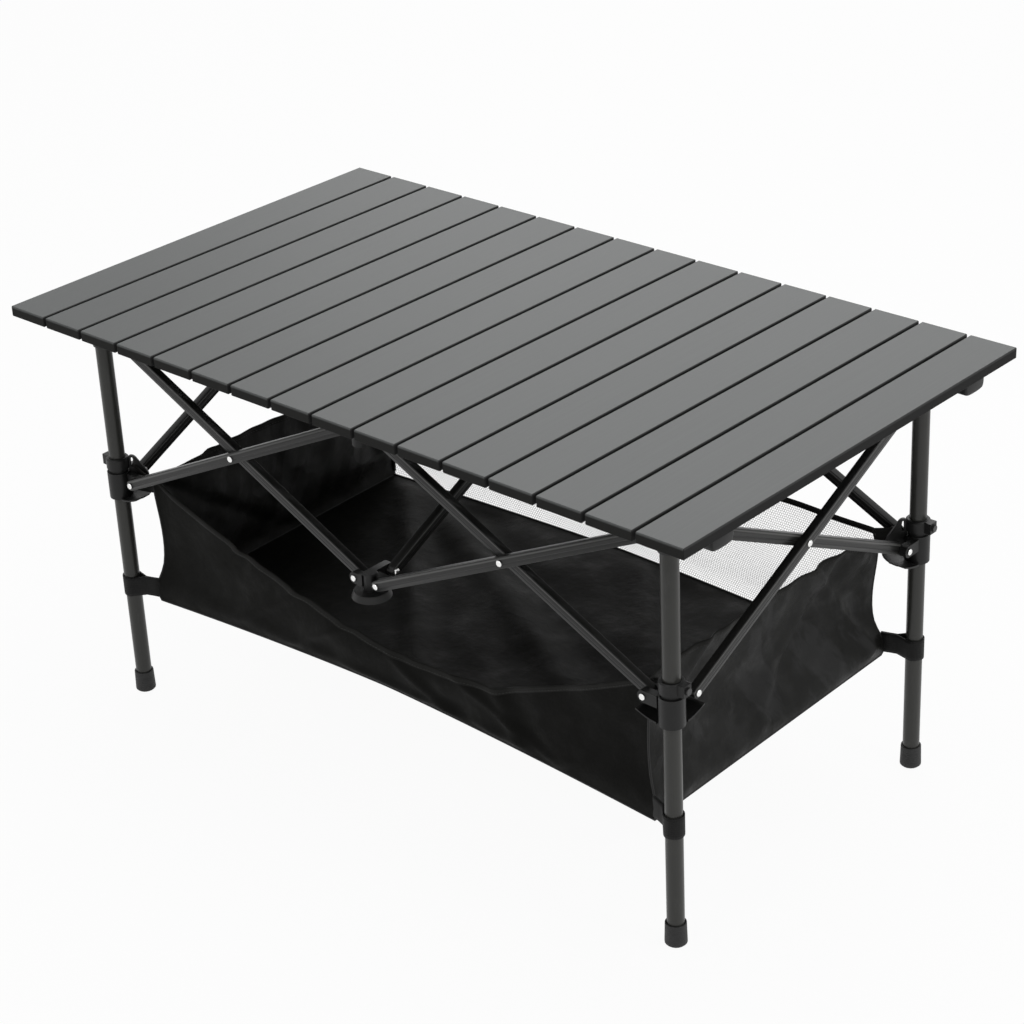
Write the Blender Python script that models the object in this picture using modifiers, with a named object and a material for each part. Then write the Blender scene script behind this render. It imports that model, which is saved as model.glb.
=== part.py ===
"""Camping table: a roll-up slatted aluminium top on a folding scissor frame with a hanging storage bag.

Metres, +Z up. The origin is on the floor under the middle of the top. +X runs along the top's length,
-Y is the near long side. The frame stands on four legs. Two middle posts, one on each long side, are
hubs without a leg. Seven scissor pairs join the six posts, so the whole frame opens and folds as one.
"""

import math

import bmesh
import bpy
from mathutils import Matrix, Vector

# Top: slats that lie across two rails
TOP_LENGTH = 0.950
TOP_WIDTH = 0.550
TOP_HEIGHT = 0.500
TOP_OVERHANG = 0.070
SLAT_COUNT = 16
SLAT_GAP = 0.004
SLAT_DEPTH = 0.012
SLAT_SKIN = 0.0010
SLAT_EDGE_ROUND = 0.0008
RAIL_WIDTH = 0.024
RAIL_HEIGHT = 0.014
RAIL_SKIN = 0.0015
RAIL_INSET = 0.009
BLOCK_LENGTH = 0.014
BLOCK_WIDTH = 0.030
BLOCK_ROUND = 0.003

# Scissor bars
BAR_ANGLE = math.radians(25.8)
BAR_HEIGHT = 0.0125
BAR_THICK = 0.0090
BAR_ROUND = 0.0032
RIVET_RADIUS = 0.0024
RIVET_HEAD_RADIUS = 0.0036
RIVET_HEAD_RISE = 0.0010
PIVOT_PLAY = 0.0003

# Hubs
CORNER_REACH = 0.029
MIDDLE_REACH = 0.016
PIVOT_DROP = 0.0164
TONGUE_RADIUS = 0.0068
CORNER_HUB_RADIUS = 0.0112
CORNER_HUB_SKIRT = 0.009
CORNER_HUB_ROOF = 0.0075
HUB_ROUND = 0.0015
MIDDLE_HUB_RADIUS = 0.0084
MIDDLE_PAD_RADIUS = 0.0130
MIDDLE_PAD_THICK = 0.0085
MIDDLE_HUB_FOOT = 0.016
DISH_RADIUS = 0.0190
DISH_FLARE = 0.0030
DISH_THICK = 0.0044
SLIDER_RADIUS = 0.0135
SLIDER_TOP = 0.0085
SLIDER_DROP = 0.024
NECK_RADIUS = 0.0112
COLLAR_RADIUS = 0.0132
COLLAR_LIFT = 0.0130
COLLAR_HEIGHT = 0.0130
WING_WIDTH = 0.021
WING_THICK = 0.0022
WING_OVERRUN = 0.0085
WING_TIP_DROP = 0.0150
WING_TIP_THICK = 0.0014
WING_CURVE = 1.6
BOWL_DROP = 0.0005

# Lock buttons on the slider collars
BOSS_REACH = 0.0195
BOSS_WIDTH = 0.0115
BUTTON_RADIUS = 0.0038
BUTTON_PROUD = 0.0024
BUTTON_TRAVEL = 0.0020
BUTTON_FLOOR = 0.0015

# Legs and feet
LEG_RADIUS = 0.00925
LEG_SKIN = 0.0012
FOOT_RADIUS = 0.0112
FOOT_HEIGHT = 0.026
FOOT_SOLE = 0.006
FOOT_FLARE = 0.0006
FOOT_ROUND = 0.0020

# Storage bag
CLOTH = 0.0024
BAG_INSET_X = 0.040
BAG_INSET_Y = 0.0150
BAG_DEPTH = 0.143
BAG_FLOOR_SAG = 0.012
BAG_RIM_RISE = 0.006
BAG_HUB_DIP = 0.032
BAG_HUB_DIP_WIDTH = 0.055
BAG_NEAR_SAG = 0.106
BAG_SAG_SHIFT = 0.06
BAG_SAG_CURVE = 1.6
STRAP_HEIGHT = 0.024
STRAP_LIFT = 0.004
HANGER_TOP = 0.0078
HANGER_HEIGHT = 0.0062
LOOP_THICK = 0.0020

# Clearance between pieces that touch, and how finely round shapes are divided
FIT = 0.0003
ROUND_STEPS = 20
ROD_STEPS = 8
BUTTON_STEPS = 10
END_STEPS = 6
BAG_STEPS = 8
SHARP_ANGLE = math.radians(35)

# Places worked out from the sizes above
PITCH = (TOP_LENGTH + SLAT_GAP) / SLAT_COUNT
SLAT_WIDTH = PITCH - SLAT_GAP
LEG_X = TOP_LENGTH / 2 - TOP_OVERHANG
SPAN = LEG_X - MIDDLE_REACH - CORNER_REACH
BAR_SPAN = SPAN / math.cos(BAR_ANGLE)
RISE = SPAN * math.tan(BAR_ANGLE)
LANE = (BAR_THICK + FIT) / 2
RIVET_END = LANE + BAR_THICK / 2 + PIVOT_PLAY + RIVET_HEAD_RISE / 2
LEG_Y = SPAN / 2 + CORNER_REACH
SLAT_UNDERSIDE = TOP_HEIGHT - SLAT_DEPTH
RAIL_TOP = SLAT_UNDERSIDE - FIT
RAIL_UNDERSIDE = RAIL_TOP - RAIL_HEIGHT
HUB_TOP = RAIL_UNDERSIDE - FIT
UPPER_Z = HUB_TOP - PIVOT_DROP
LOWER_Z = UPPER_Z - RISE
BAG_X = LEG_X - BAG_INSET_X
BAG_Y = LEG_Y - BAG_INSET_Y
BAG_RIM = LOWER_Z + BAG_RIM_RISE
BAG_FLOOR = BAG_RIM - BAG_DEPTH

UP = Vector((0, 0, 1))
POSTS = {
    "near_left": Vector((-LEG_X, -LEG_Y, 0)),
    "near_middle": Vector((0, -LEG_Y, 0)),
    "near_right": Vector((LEG_X, -LEG_Y, 0)),
    "far_left": Vector((-LEG_X, LEG_Y, 0)),
    "far_middle": Vector((0, LEG_Y, 0)),
    "far_right": Vector((LEG_X, LEG_Y, 0)),
}
# Each scissor pair: its left and right post as seen from outside the table, and which of its two bars
# hangs by its upper end. The other bar is carried at the crossing.
PAIRS = {
    "near_left": ("near_left", "near_middle", "rising"),
    "near_right": ("near_middle", "near_right", "falling"),
    "far_left": ("far_middle", "far_left", "falling"),
    "far_right": ("far_right", "far_middle", "rising"),
    "left_end": ("far_left", "near_left", "rising"),
    "right_end": ("near_right", "far_right", "falling"),
    "middle": ("near_middle", "far_middle", "falling"),
}


def clear_scene():
    for old in list(bpy.data.objects):
        bpy.data.objects.remove(old)


def make_collection(name, helper=False):
    group = bpy.data.collections.new(name)
    bpy.context.scene.collection.children.link(group)
    group.hide_render = helper
    return group


def make_material(name, color, roughness, metallic=0.0):
    material = bpy.data.materials.new(name)
    material.use_nodes = True
    shader = material.node_tree.nodes["Principled BSDF"]
    shader.inputs["Base Color"].default_value = (*color, 1)
    shader.inputs["Roughness"].default_value = roughness
    shader.inputs["Metallic"].default_value = metallic
    return material


def add_object(name, data, material, origin=(0, 0, 0)):
    """A finished piece, given in world coordinates and moved so that its origin is on the joint."""
    shift = Vector(origin)
    data.transform(Matrix.Translation(-shift))
    obj = bpy.data.objects.new(name, data)
    obj.location = shift
    obj.data.materials.append(material)
    TABLE.objects.link(obj)
    return obj


def add_helper(name, data):
    obj = bpy.data.objects.new(name, data)
    obj.hide_render = True
    obj.display_type = "WIRE"
    HELPERS.objects.link(obj)
    return obj


def join_or_cut(obj, operation, tools):
    for tool in tools:
        modifier = obj.modifiers.new(operation.title() + " " + tool.name, "BOOLEAN")
        modifier.operation = operation
        modifier.object = tool
        modifier.solver = "EXACT"


def side_frame(direction, place):
    """Matrix that stands a drawing in the world: its x along the direction, its y up."""
    across = direction.cross(UP)
    turn = Matrix((direction, UP, across)).transposed().to_4x4()
    return Matrix.Translation(place) @ turn


def plate_mesh(name, outline, thickness, matrix):
    """A flat plate from a closed outline, with the drawing's plane at mid-thickness."""
    curve = bpy.data.curves.new(name + "_outline", "CURVE")
    curve.dimensions = "2D"
    curve.fill_mode = "BOTH"
    curve.extrude = thickness / 2
    spline = curve.splines.new("POLY")
    spline.points.add(len(outline) - 1)
    for point, (x, y) in zip(spline.points, outline):
        point.co = (x, y, 0, 1)
    spline.use_cyclic_u = True
    drawing = bpy.data.objects.new(name + "_drawing", curve)
    HELPERS.objects.link(drawing)
    mesh = bpy.data.meshes.new_from_object(drawing.evaluated_get(bpy.context.evaluated_depsgraph_get()))
    bpy.data.objects.remove(drawing)
    shape = bmesh.new()
    shape.from_mesh(mesh)
    bmesh.ops.remove_doubles(shape, verts=shape.verts, dist=1e-6)
    bmesh.ops.recalc_face_normals(shape, faces=shape.faces)
    shape.to_mesh(mesh)
    shape.free()
    mesh.name = name
    mesh.transform(matrix)
    return mesh


def arc(center, radius, start, end, steps):
    turns = [math.radians(start + (end - start) * i / steps) for i in range(steps + 1)]
    return [(center[0] + radius * math.cos(t), center[1] + radius * math.sin(t)) for t in turns]


def box_mesh(name, size, center):
    shape = bmesh.new()
    bmesh.ops.create_cube(shape, size=1, matrix=Matrix.Translation(center) @ Matrix.Diagonal((*size, 1)))
    mesh = bpy.data.meshes.new(name)
    shape.to_mesh(mesh)
    shape.free()
    return mesh


def rod_mesh(name, radius, length, matrix, steps=ROD_STEPS):
    """A closed rod along the matrix's z, from -length / 2 to +length / 2."""
    shape = bmesh.new()
    bmesh.ops.create_cone(
        shape, cap_ends=True, segments=steps, radius1=radius, radius2=radius, depth=length, matrix=matrix
    )
    mesh = bpy.data.meshes.new(name)
    shape.to_mesh(mesh)
    shape.free()
    return mesh


def turned_mesh(name, profile, place, closed=True):
    """A turned shape from (radius, height) points that run down the outer side first."""
    mesh = bpy.data.meshes.new(name + "_profile")
    points = [(r, 0, z) for r, z in profile]
    ends = len(points) if closed else len(points) - 1
    mesh.from_pydata(points, [(i, (i + 1) % len(points)) for i in range(ends)], [])
    spun = bpy.data.objects.new(name + "_turning", mesh)
    HELPERS.objects.link(spun)
    screw = spun.modifiers.new("Screw", "SCREW")
    screw.steps = ROUND_STEPS
    screw.render_steps = ROUND_STEPS
    screw.use_merge_vertices = True
    screw.merge_threshold = 1e-5
    result = bpy.data.meshes.new_from_object(spun.evaluated_get(bpy.context.evaluated_depsgraph_get()))
    bpy.data.objects.remove(spun)
    result.name = name
    result.transform(Matrix.Translation(place))
    return result


def smooth(obj):
    obj.data.shade_smooth()
    obj.data.set_sharp_from_angle(angle=SHARP_ANGLE)


# Frame geometry shared by bars and hubs


def pair_line(name):
    """Left post, right post, direction from left to right and outward normal of a scissor pair."""
    left, right, _ = PAIRS[name]
    direction = (POSTS[right] - POSTS[left]).normalized()
    return left, right, direction, direction.cross(UP)


def reach(post, direction):
    """How far a hub holds its pivot from the post's axis, along a direction."""
    is_side = abs(direction.x) > abs(direction.y)
    return MIDDLE_REACH if post.endswith("middle") and is_side else CORNER_REACH


def pivot(post, direction, height):
    """Point on the pivot's axis, midway between the two bars' lanes."""
    return POSTS[post] + direction * reach(post, direction) + UP * height


def bar_ends(pair, kind):
    """Lower or upper end first: a rising bar climbs to the right as seen from outside."""
    left, right, direction, outward = pair_line(pair)
    start = pivot(left, direction, LOWER_Z if kind == "rising" else UPPER_Z)
    end = pivot(right, -direction, UPPER_Z if kind == "rising" else LOWER_Z)
    lane = outward * (LANE if kind == "rising" else -LANE)
    return start, end, lane


def bar_home(pair, kind):
    """The joint that carries a bar: its upper end if it is the pair's hanging bar, else the crossing."""
    start, end, _ = bar_ends(pair, kind)
    if PAIRS[pair][2] == kind:
        return end if kind == "rising" else start
    return (start + end) / 2


def make_bar(pair, kind):
    """A bar of flattened oval section with round ends. The falling bar carries the rivet of the crossing,
    which fills the rising bar's hole."""
    name = f"bar_{pair}_{kind}"
    start, end, lane = bar_ends(pair, kind)
    _, _, direction, outward = pair_line(pair)
    crossing = (start + end) / 2
    along = (end - start).normalized()
    turn = Matrix((along, outward.cross(along), outward)).transposed().to_4x4()
    matrix = Matrix.Translation(crossing + lane) @ turn
    half, tip = BAR_SPAN / 2, BAR_HEIGHT / 2
    outline = arc((half, 0), tip, -90, 90, END_STEPS) + arc((-half, 0), tip, 90, 270, END_STEPS)
    plate = plate_mesh(name, outline, BAR_THICK, matrix)
    bar = add_object(name, plate, FRAME_PAINT, bar_home(pair, kind))
    bevel = bar.modifiers.new("Round section", "BEVEL")
    bevel.width = BAR_ROUND
    bevel.segments = 2
    bevel.limit_method = "ANGLE"
    bevel.angle_limit = 2 * SHARP_ANGLE
    places = [start, end] + ([crossing] if kind == "rising" else [])
    holes = []
    for i, place in enumerate(places):
        label = f"{name}_hole_{i}"
        turned = Matrix.Translation(place + lane) @ across_frame(outward)
        holes.append(add_helper(label, rod_mesh(label, RIVET_RADIUS + PIVOT_PLAY, 2 * BAR_THICK, turned)))
    join_or_cut(bar, "DIFFERENCE", holes)
    if kind == "falling":
        join_or_cut(bar, "UNION", rivet_parts(name, crossing, outward, -BAR_THICK / 2, (1,)))
    smooth(bar)


def across_frame(outward):
    """Turn that puts a rod's z on the outward normal."""
    return Matrix((outward.cross(UP), UP, -outward)).transposed().to_4x4()


def rivet_parts(name, center, outward, low, sides):
    """A rivet's shank, from the low depth to the head on the outer face, and a head on each of the sides."""
    turn = across_frame(outward)
    shank = Matrix.Translation(center + outward * (RIVET_END + low) / 2) @ turn
    parts = [rod_mesh(name + "_rivet", RIVET_RADIUS, RIVET_END - low, shank)]
    for side in sides:
        head = Matrix.Translation(center + outward * side * RIVET_END) @ turn
        parts.append(rod_mesh(f"{name}_rivet_head_{side}", RIVET_HEAD_RADIUS, RIVET_HEAD_RISE, head))
    return [add_helper(part.name, part) for part in parts]


def hub_links(post, upper):
    """For each scissor pair at a post: its direction, its outward normal, and which lane its bar is in."""
    links = []
    for pair in PAIRS:
        left, right, direction, outward = pair_line(pair)
        if post == left:
            links.append((pair, direction, outward, -1 if upper else 1))
        if post == right:
            links.append((pair, -direction, outward, 1 if upper else -1))
    return links


def tongue_outline(root, distance):
    """Drawing of a tongue from its root in the hub's body out to the round end at the pivot."""
    end = arc((distance, 0), TONGUE_RADIUS, -75, 75, END_STEPS)
    return [(root, -TONGUE_RADIUS)] + end + [(root, TONGUE_RADIUS)]


def wing_outline(root, distance):
    """Drawing of the curved strip that runs from the slider's foot out under the pivot."""
    tip = distance + WING_OVERRUN
    lowest = -SLIDER_DROP + WING_THICK
    upper = []
    lower = []
    for i in range(END_STEPS + 1):
        t = i / END_STEPS
        x = root + (tip - root) * t
        z = lowest - (lowest + WING_TIP_DROP) * t**WING_CURVE
        upper.append((x, z))
        lower.append((x, z - WING_THICK + (WING_THICK - WING_TIP_THICK) * t))
    return lower + upper[::-1]


def bowl_mesh(name, post, outline):
    """Quarter of a bowl between a slider's two wings, turned from the wings' drawing round the leg."""
    center = POSTS[post]
    start = math.atan2(-center.y, 0)
    sweep = math.atan2(0, -center.x) - start
    sweep -= 2 * math.pi * round(sweep / (2 * math.pi))
    steps = ROUND_STEPS // 2
    verts, faces, count = [], [], len(outline)
    for i in range(steps + 1):
        angle = start + sweep * i / steps
        ray = Vector((math.cos(angle), math.sin(angle), 0))
        verts += [center + ray * x + UP * (LOWER_Z - BOWL_DROP + z) for x, z in outline]
    for i in range(steps):
        for k in range(count):
            a, b = i * count + k, i * count + (k + 1) % count
            faces.append((a, b, b + count, a + count))
    faces += [tuple(reversed(range(count))), tuple(steps * count + k for k in range(count))]
    mesh = bpy.data.meshes.new(name)
    mesh.from_pydata(verts, [], faces)
    shape = bmesh.new()
    shape.from_mesh(mesh)
    bmesh.ops.recalc_face_normals(shape, faces=shape.faces)
    shape.to_mesh(mesh)
    shape.free()
    return mesh


def hub_tools(name, post, upper, root, wings=False):
    """Tongues, wings and rivets of a hub. Each tongue lies in the lane that its bar leaves free."""
    tools = []
    base = POSTS[post] + UP * (UPPER_Z if upper else LOWER_Z)
    for pair, direction, outward, lane in hub_links(post, upper):
        distance = reach(post, direction)
        label = f"{name}_{pair}"
        matrix = side_frame(direction, base - outward * lane * LANE)
        tongue = plate_mesh(label + "_tongue", tongue_outline(root, distance), BAR_THICK, matrix)
        tools.append(add_helper(tongue.name, tongue))
        if wings:
            matrix = side_frame(direction, base)
            wing = plate_mesh(label + "_wing", wing_outline(root, distance), WING_WIDTH, matrix)
            tools.append(add_helper(wing.name, wing))
        tools += rivet_parts(label, base + direction * distance, outward, -RIVET_END, (1, -1))
    return tools


def make_corner_hub(post, empty):
    """Cap on top of a leg, blind from below, with a tongue for each of its two scissor pairs."""
    name = f"top_hub_{post}"
    bore = LEG_RADIUS + FIT
    base = UPPER_Z - CORNER_HUB_SKIRT
    profile = [
        (0, HUB_TOP),
        (CORNER_HUB_RADIUS - HUB_ROUND, HUB_TOP),
        (CORNER_HUB_RADIUS, HUB_TOP - HUB_ROUND),
        (CORNER_HUB_RADIUS, base),
        (bore, base),
        (bore, HUB_TOP - CORNER_HUB_ROOF),
        (0, HUB_TOP - CORNER_HUB_ROOF),
    ]
    mesh = turned_mesh(name, profile, POSTS[post], closed=False)
    hub = add_object(name, mesh, HUB_PLASTIC, POSTS[post] + UP * UPPER_Z)
    tools = hub_tools(name, post, True, (bore + CORNER_HUB_RADIUS) / 2)
    join_or_cut(hub, "UNION", tools)
    smooth(hub)
    hold(hub, empty)


def make_middle_hub(post, upper):
    """Solid hub of a middle post. The upper one ends in a pad that carries the rail."""
    name = f"{'upper' if upper else 'lower'}_hub_{post}"
    height = UPPER_Z if upper else LOWER_Z
    foot = height - MIDDLE_HUB_FOOT
    if upper:
        pad = HUB_TOP - MIDDLE_PAD_THICK
        head = [(0, HUB_TOP), (MIDDLE_PAD_RADIUS, HUB_TOP), (MIDDLE_PAD_RADIUS, pad)]
        head.append((MIDDLE_HUB_RADIUS, pad))
    else:
        top = height + MIDDLE_HUB_RADIUS
        head = [(0, top), (MIDDLE_HUB_RADIUS - HUB_ROUND, top), (MIDDLE_HUB_RADIUS, top - HUB_ROUND)]
    profile = head + [(MIDDLE_HUB_RADIUS, foot), (0, foot)]
    mesh = turned_mesh(name, profile, POSTS[post], closed=False)
    hub = add_object(name, mesh, HUB_PLASTIC, POSTS[post] + UP * height)
    tools = hub_tools(name, post, upper, MIDDLE_HUB_RADIUS / 2)
    if not upper:
        dish = [
            (0, foot + DISH_THICK),
            (DISH_RADIUS, foot + DISH_THICK),
            (DISH_RADIUS + DISH_FLARE, foot - DISH_FLARE),
            (0, foot - DISH_FLARE),
        ]
        tool = turned_mesh(name + "_dish", dish, POSTS[post], closed=False)
        tools.append(add_helper(tool.name, tool))
    join_or_cut(hub, "UNION", tools)
    smooth(hub)


def make_slider(post):
    """Sleeve that slides on a leg: body with tongues and wings, neck, and collar with the button's boss."""
    name = f"slider_hub_{post}"
    bore = LEG_RADIUS + FIT
    collar = LOWER_Z + COLLAR_LIFT
    top = collar + COLLAR_HEIGHT
    profile = [
        (bore, top),
        (COLLAR_RADIUS - HUB_ROUND, top),
        (COLLAR_RADIUS, top - HUB_ROUND),
        (COLLAR_RADIUS, collar),
        (NECK_RADIUS, collar),
        (NECK_RADIUS, LOWER_Z + SLIDER_TOP),
        (SLIDER_RADIUS, LOWER_Z + SLIDER_TOP),
        (SLIDER_RADIUS, LOWER_Z - SLIDER_DROP),
        (bore, LOWER_Z - SLIDER_DROP),
    ]
    mesh = turned_mesh(name, profile, POSTS[post])
    slider = add_object(name, mesh, HUB_PLASTIC, POSTS[post] + UP * LOWER_Z)
    root = (bore + SLIDER_RADIUS) / 2
    tools = hub_tools(name, post, False, root, wings=True)
    bowl = bowl_mesh(name + "_bowl", post, wing_outline(root, CORNER_REACH))
    tools.append(add_helper(bowl.name, bowl))
    outward = Vector((math.copysign(1, POSTS[post].x), 0, 0))
    middle = collar + COLLAR_HEIGHT / 2
    boss_size = (BOSS_REACH - NECK_RADIUS, BOSS_WIDTH, COLLAR_HEIGHT - 2 * FIT)
    boss_center = POSTS[post] + outward * (BOSS_REACH + NECK_RADIUS) / 2 + UP * middle
    tools.append(add_helper(name + "_boss", box_mesh(name + "_boss", boss_size, boss_center)))
    join_or_cut(slider, "UNION", tools)
    turn = Matrix.Rotation(math.pi / 2, 4, "Y")
    well_floor = bore + BUTTON_FLOOR
    well_center = POSTS[post] + outward * (well_floor + BOSS_REACH + FIT) / 2 + UP * middle
    well_depth = BOSS_REACH + FIT - well_floor
    well_place = Matrix.Translation(well_center) @ turn
    well = rod_mesh(name + "_well", BUTTON_RADIUS + FIT, well_depth, well_place, steps=BUTTON_STEPS)
    join_or_cut(slider, "DIFFERENCE", [add_helper(well.name, well)])
    smooth(slider)
    button_start = well_floor + BUTTON_TRAVEL + FIT
    button_end = BOSS_REACH + BUTTON_PROUD
    button_center = POSTS[post] + outward * (button_start + button_end) / 2 + UP * middle
    button_place = Matrix.Translation(button_center) @ turn
    name = f"lock_button_{post}"
    button = rod_mesh(name, BUTTON_RADIUS, button_end - button_start, button_place, steps=BUTTON_STEPS)
    smooth(add_object(name, button, BUTTON_PLASTIC, button_center))


def hold(obj, empty):
    """Parents a piece to the empty on its body's joint, where it stands."""
    obj.parent = empty
    obj.matrix_parent_inverse = Matrix.Translation(empty.location).inverted()


def leg_joint(post):
    """Where the scissor bar that carries a leg is riveted to its top hub."""
    for pair in PAIRS:
        left, right, direction, _ = pair_line(pair)
        if pair.startswith(post.split("_")[0]) and post in (left, right):
            return pivot(post, direction if post == left else -direction, UPPER_Z)
    return POSTS[post] + UP * UPPER_Z


def make_leg(post):
    empty = bpy.data.objects.new(f"leg_joint_{post}", None)
    empty.location = leg_joint(post)
    empty.empty_display_size = 2 * CORNER_REACH
    TABLE.objects.link(empty)
    top = HUB_TOP - CORNER_HUB_ROOF - FIT
    low = FOOT_SOLE + FIT
    inner = LEG_RADIUS - LEG_SKIN
    profile = [(LEG_RADIUS, top), (LEG_RADIUS, low), (inner, low), (inner, top)]
    tube = turned_mesh(f"leg_{post}", profile, POSTS[post])
    leg = add_object(f"leg_{post}", tube, FRAME_PAINT, POSTS[post])
    smooth(leg)
    hold(leg, empty)
    bore = LEG_RADIUS + FIT
    profile = [
        (bore, FOOT_HEIGHT),
        (FOOT_RADIUS, FOOT_HEIGHT),
        (FOOT_RADIUS + FOOT_FLARE, FOOT_ROUND * 2),
        (FOOT_RADIUS + FOOT_FLARE, FOOT_ROUND),
        (FOOT_RADIUS + FOOT_FLARE - FOOT_ROUND, 0),
        (0, 0),
        (0, FOOT_SOLE),
        (bore, FOOT_SOLE),
    ]
    cap = turned_mesh(f"foot_{post}", profile, POSTS[post])
    foot = add_object(f"foot_{post}", cap, FOOT_RUBBER, POSTS[post])
    smooth(foot)
    hold(foot, empty)
    make_corner_hub(post, empty)


def slat_start(index):
    """X of the hinge line on the left of a slat, midway across the gap."""
    return -TOP_LENGTH / 2 - SLAT_GAP / 2 + index * PITCH


def make_slat(index):
    """A shallow tray, open below, whose hinge line is at the top face in the gap to its left."""
    name = f"slat_{index + 1:02d}"
    origin = Vector((slat_start(index), 0, TOP_HEIGHT))
    center = origin + Vector((PITCH / 2, 0, -SLAT_DEPTH / 2))
    slat = add_object(name, box_mesh(name, (SLAT_WIDTH, TOP_WIDTH, SLAT_DEPTH), center), TOP_PAINT, origin)
    bevel = slat.modifiers.new("Bevel", "BEVEL")
    bevel.width = SLAT_EDGE_ROUND
    bevel.segments = 1
    bevel.limit_method = "ANGLE"
    inner = (SLAT_WIDTH - 2 * SLAT_SKIN, TOP_WIDTH - 2 * SLAT_SKIN, SLAT_DEPTH)
    hollow = add_helper(name + "_hollow", box_mesh(name + "_hollow", inner, center - UP * SLAT_SKIN))
    join_or_cut(slat, "DIFFERENCE", [hollow])
    return slat


def make_rail(side, y):
    """A channel, open below, that carries all the slats, with a block at each end."""
    name = f"rail_{side}"
    half, wall = RAIL_WIDTH / 2, RAIL_WIDTH / 2 - RAIL_SKIN
    low, high = RAIL_UNDERSIDE, RAIL_TOP
    under = high - RAIL_SKIN
    outer = [(-half, low), (-half, high), (half, high), (half, low)]
    inner = [(wall, low), (wall, under), (-wall, under), (-wall, low)]
    end = TOP_LENGTH / 2 - RAIL_INSET
    matrix = side_frame(Vector((0, 1, 0)), Vector((0, y, 0)))
    length = 2 * (end - BLOCK_LENGTH / 2)
    channel = plate_mesh(name, outer + inner, length, matrix)
    rail = add_object(name, channel, FRAME_PAINT, (0, y, RAIL_TOP))
    blocks = []
    for sign in (-1, 1):
        center = Vector((sign * (end - BLOCK_LENGTH / 2), y, (low + high) / 2))
        label = f"{name}_block_{sign}"
        block = add_helper(label, box_mesh(label, (BLOCK_LENGTH, BLOCK_WIDTH, RAIL_HEIGHT), center))
        bevel = block.modifiers.new("Bevel", "BEVEL")
        bevel.width = BLOCK_ROUND
        bevel.segments = 2
        blocks.append(block)
    join_or_cut(rail, "UNION", blocks)
    return rail


def bag_floor(x):
    """Height of the bag's floor, which hangs lower at its two ends than in the middle."""
    return BAG_FLOOR - BAG_FLOOR_SAG * abs(x / BAG_X)


def near_rim(x):
    """Height of the bag's near rim, a slack cloth edge that is lowest a little right of the middle."""
    shifted = (x - BAG_SAG_SHIFT) / (BAG_X + math.copysign(BAG_SAG_SHIFT, BAG_SAG_SHIFT - x))
    return BAG_RIM - BAG_NEAR_SAG * (1 - abs(shifted) ** BAG_SAG_CURVE)


def far_rim(x):
    """Height of the bag's far rim, which dips under the far side's lower middle hub."""
    return BAG_RIM - BAG_HUB_DIP * math.exp(-((x / BAG_HUB_DIP_WIDTH) ** 2))


def make_bag():
    """Floor and three walls fused together, with a strap to each leg and a hanger to each slider."""
    xs = [-BAG_X + 2 * BAG_X * i / BAG_STEPS for i in range(BAG_STEPS + 1)]
    outline = [(x, bag_floor(x)) for x in xs] + [(x, near_rim(x)) for x in reversed(xs)]
    along = Vector((1, 0, 0))
    near_wall = plate_mesh("storage_bag", outline, CLOTH, side_frame(along, Vector((0, -BAG_Y, 0))))
    bag = add_object("storage_bag", near_wall, BAG_CLOTH)
    under = [(x, bag_floor(x) - CLOTH / 2) for x in xs]
    over = [(x, bag_floor(x) + CLOTH / 2) for x in reversed(xs)]
    floor = plate_mesh("bag_floor", under + over, 2 * BAG_Y, side_frame(along, Vector()))
    tools = [add_helper("bag_floor", floor)]
    low, high = bag_floor(BAG_X), BAG_RIM + CLOTH
    for sign in (-1, 1):
        label = f"bag_end_wall_{sign}"
        size = (CLOTH, 2 * (BAG_Y + CLOTH), high - low)
        tools.append(add_helper(label, box_mesh(label, size, Vector((sign * BAG_X, 0, (low + high) / 2)))))
    for post in ("near_left", "near_right", "far_left", "far_right"):
        tools += strap_tools(post)
    join_or_cut(bag, "UNION", tools)
    return bag


def strap_tools(post):
    """The lower strap, which loops round the leg, and the upper hanger, which ends at the slider."""
    center = POSTS[post]
    corner = Vector((math.copysign(BAG_X, center.x), math.copysign(BAG_Y, center.y), 0))
    direction = (corner - center).normalized()
    distance = (corner - center).length
    strap_low = bag_floor(BAG_X) + STRAP_LIFT
    strap_middle = strap_low + STRAP_HEIGHT / 2
    inner = LEG_RADIUS + FIT
    profile = [
        (inner + LOOP_THICK, strap_low + STRAP_HEIGHT),
        (inner + LOOP_THICK, strap_low),
        (inner, strap_low),
        (inner, strap_low + STRAP_HEIGHT),
    ]
    label = f"bag_{post}"
    tools = [add_helper(label + "_loop", turned_mesh(label + "_loop", profile, center))]
    hanger_middle = LOWER_Z - HANGER_TOP - HANGER_HEIGHT / 2
    sleeve = SLIDER_RADIUS + FIT
    for kind, start, height, middle in (
        ("strap", inner + LOOP_THICK / 2, STRAP_HEIGHT, strap_middle),
        ("hanger", sleeve, HANGER_HEIGHT, hanger_middle),
    ):
        length = distance + CLOTH / 2 - start
        place = center + direction * (start + length / 2) + UP * middle
        turn = direction.to_track_quat("X", "Z").to_matrix().to_4x4()
        mesh = box_mesh(f"{label}_{kind}", (length, CLOTH, height), Vector())
        mesh.transform(Matrix.Translation(place) @ turn)
        tools.append(add_helper(f"{label}_{kind}", mesh))
    return tools


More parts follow.
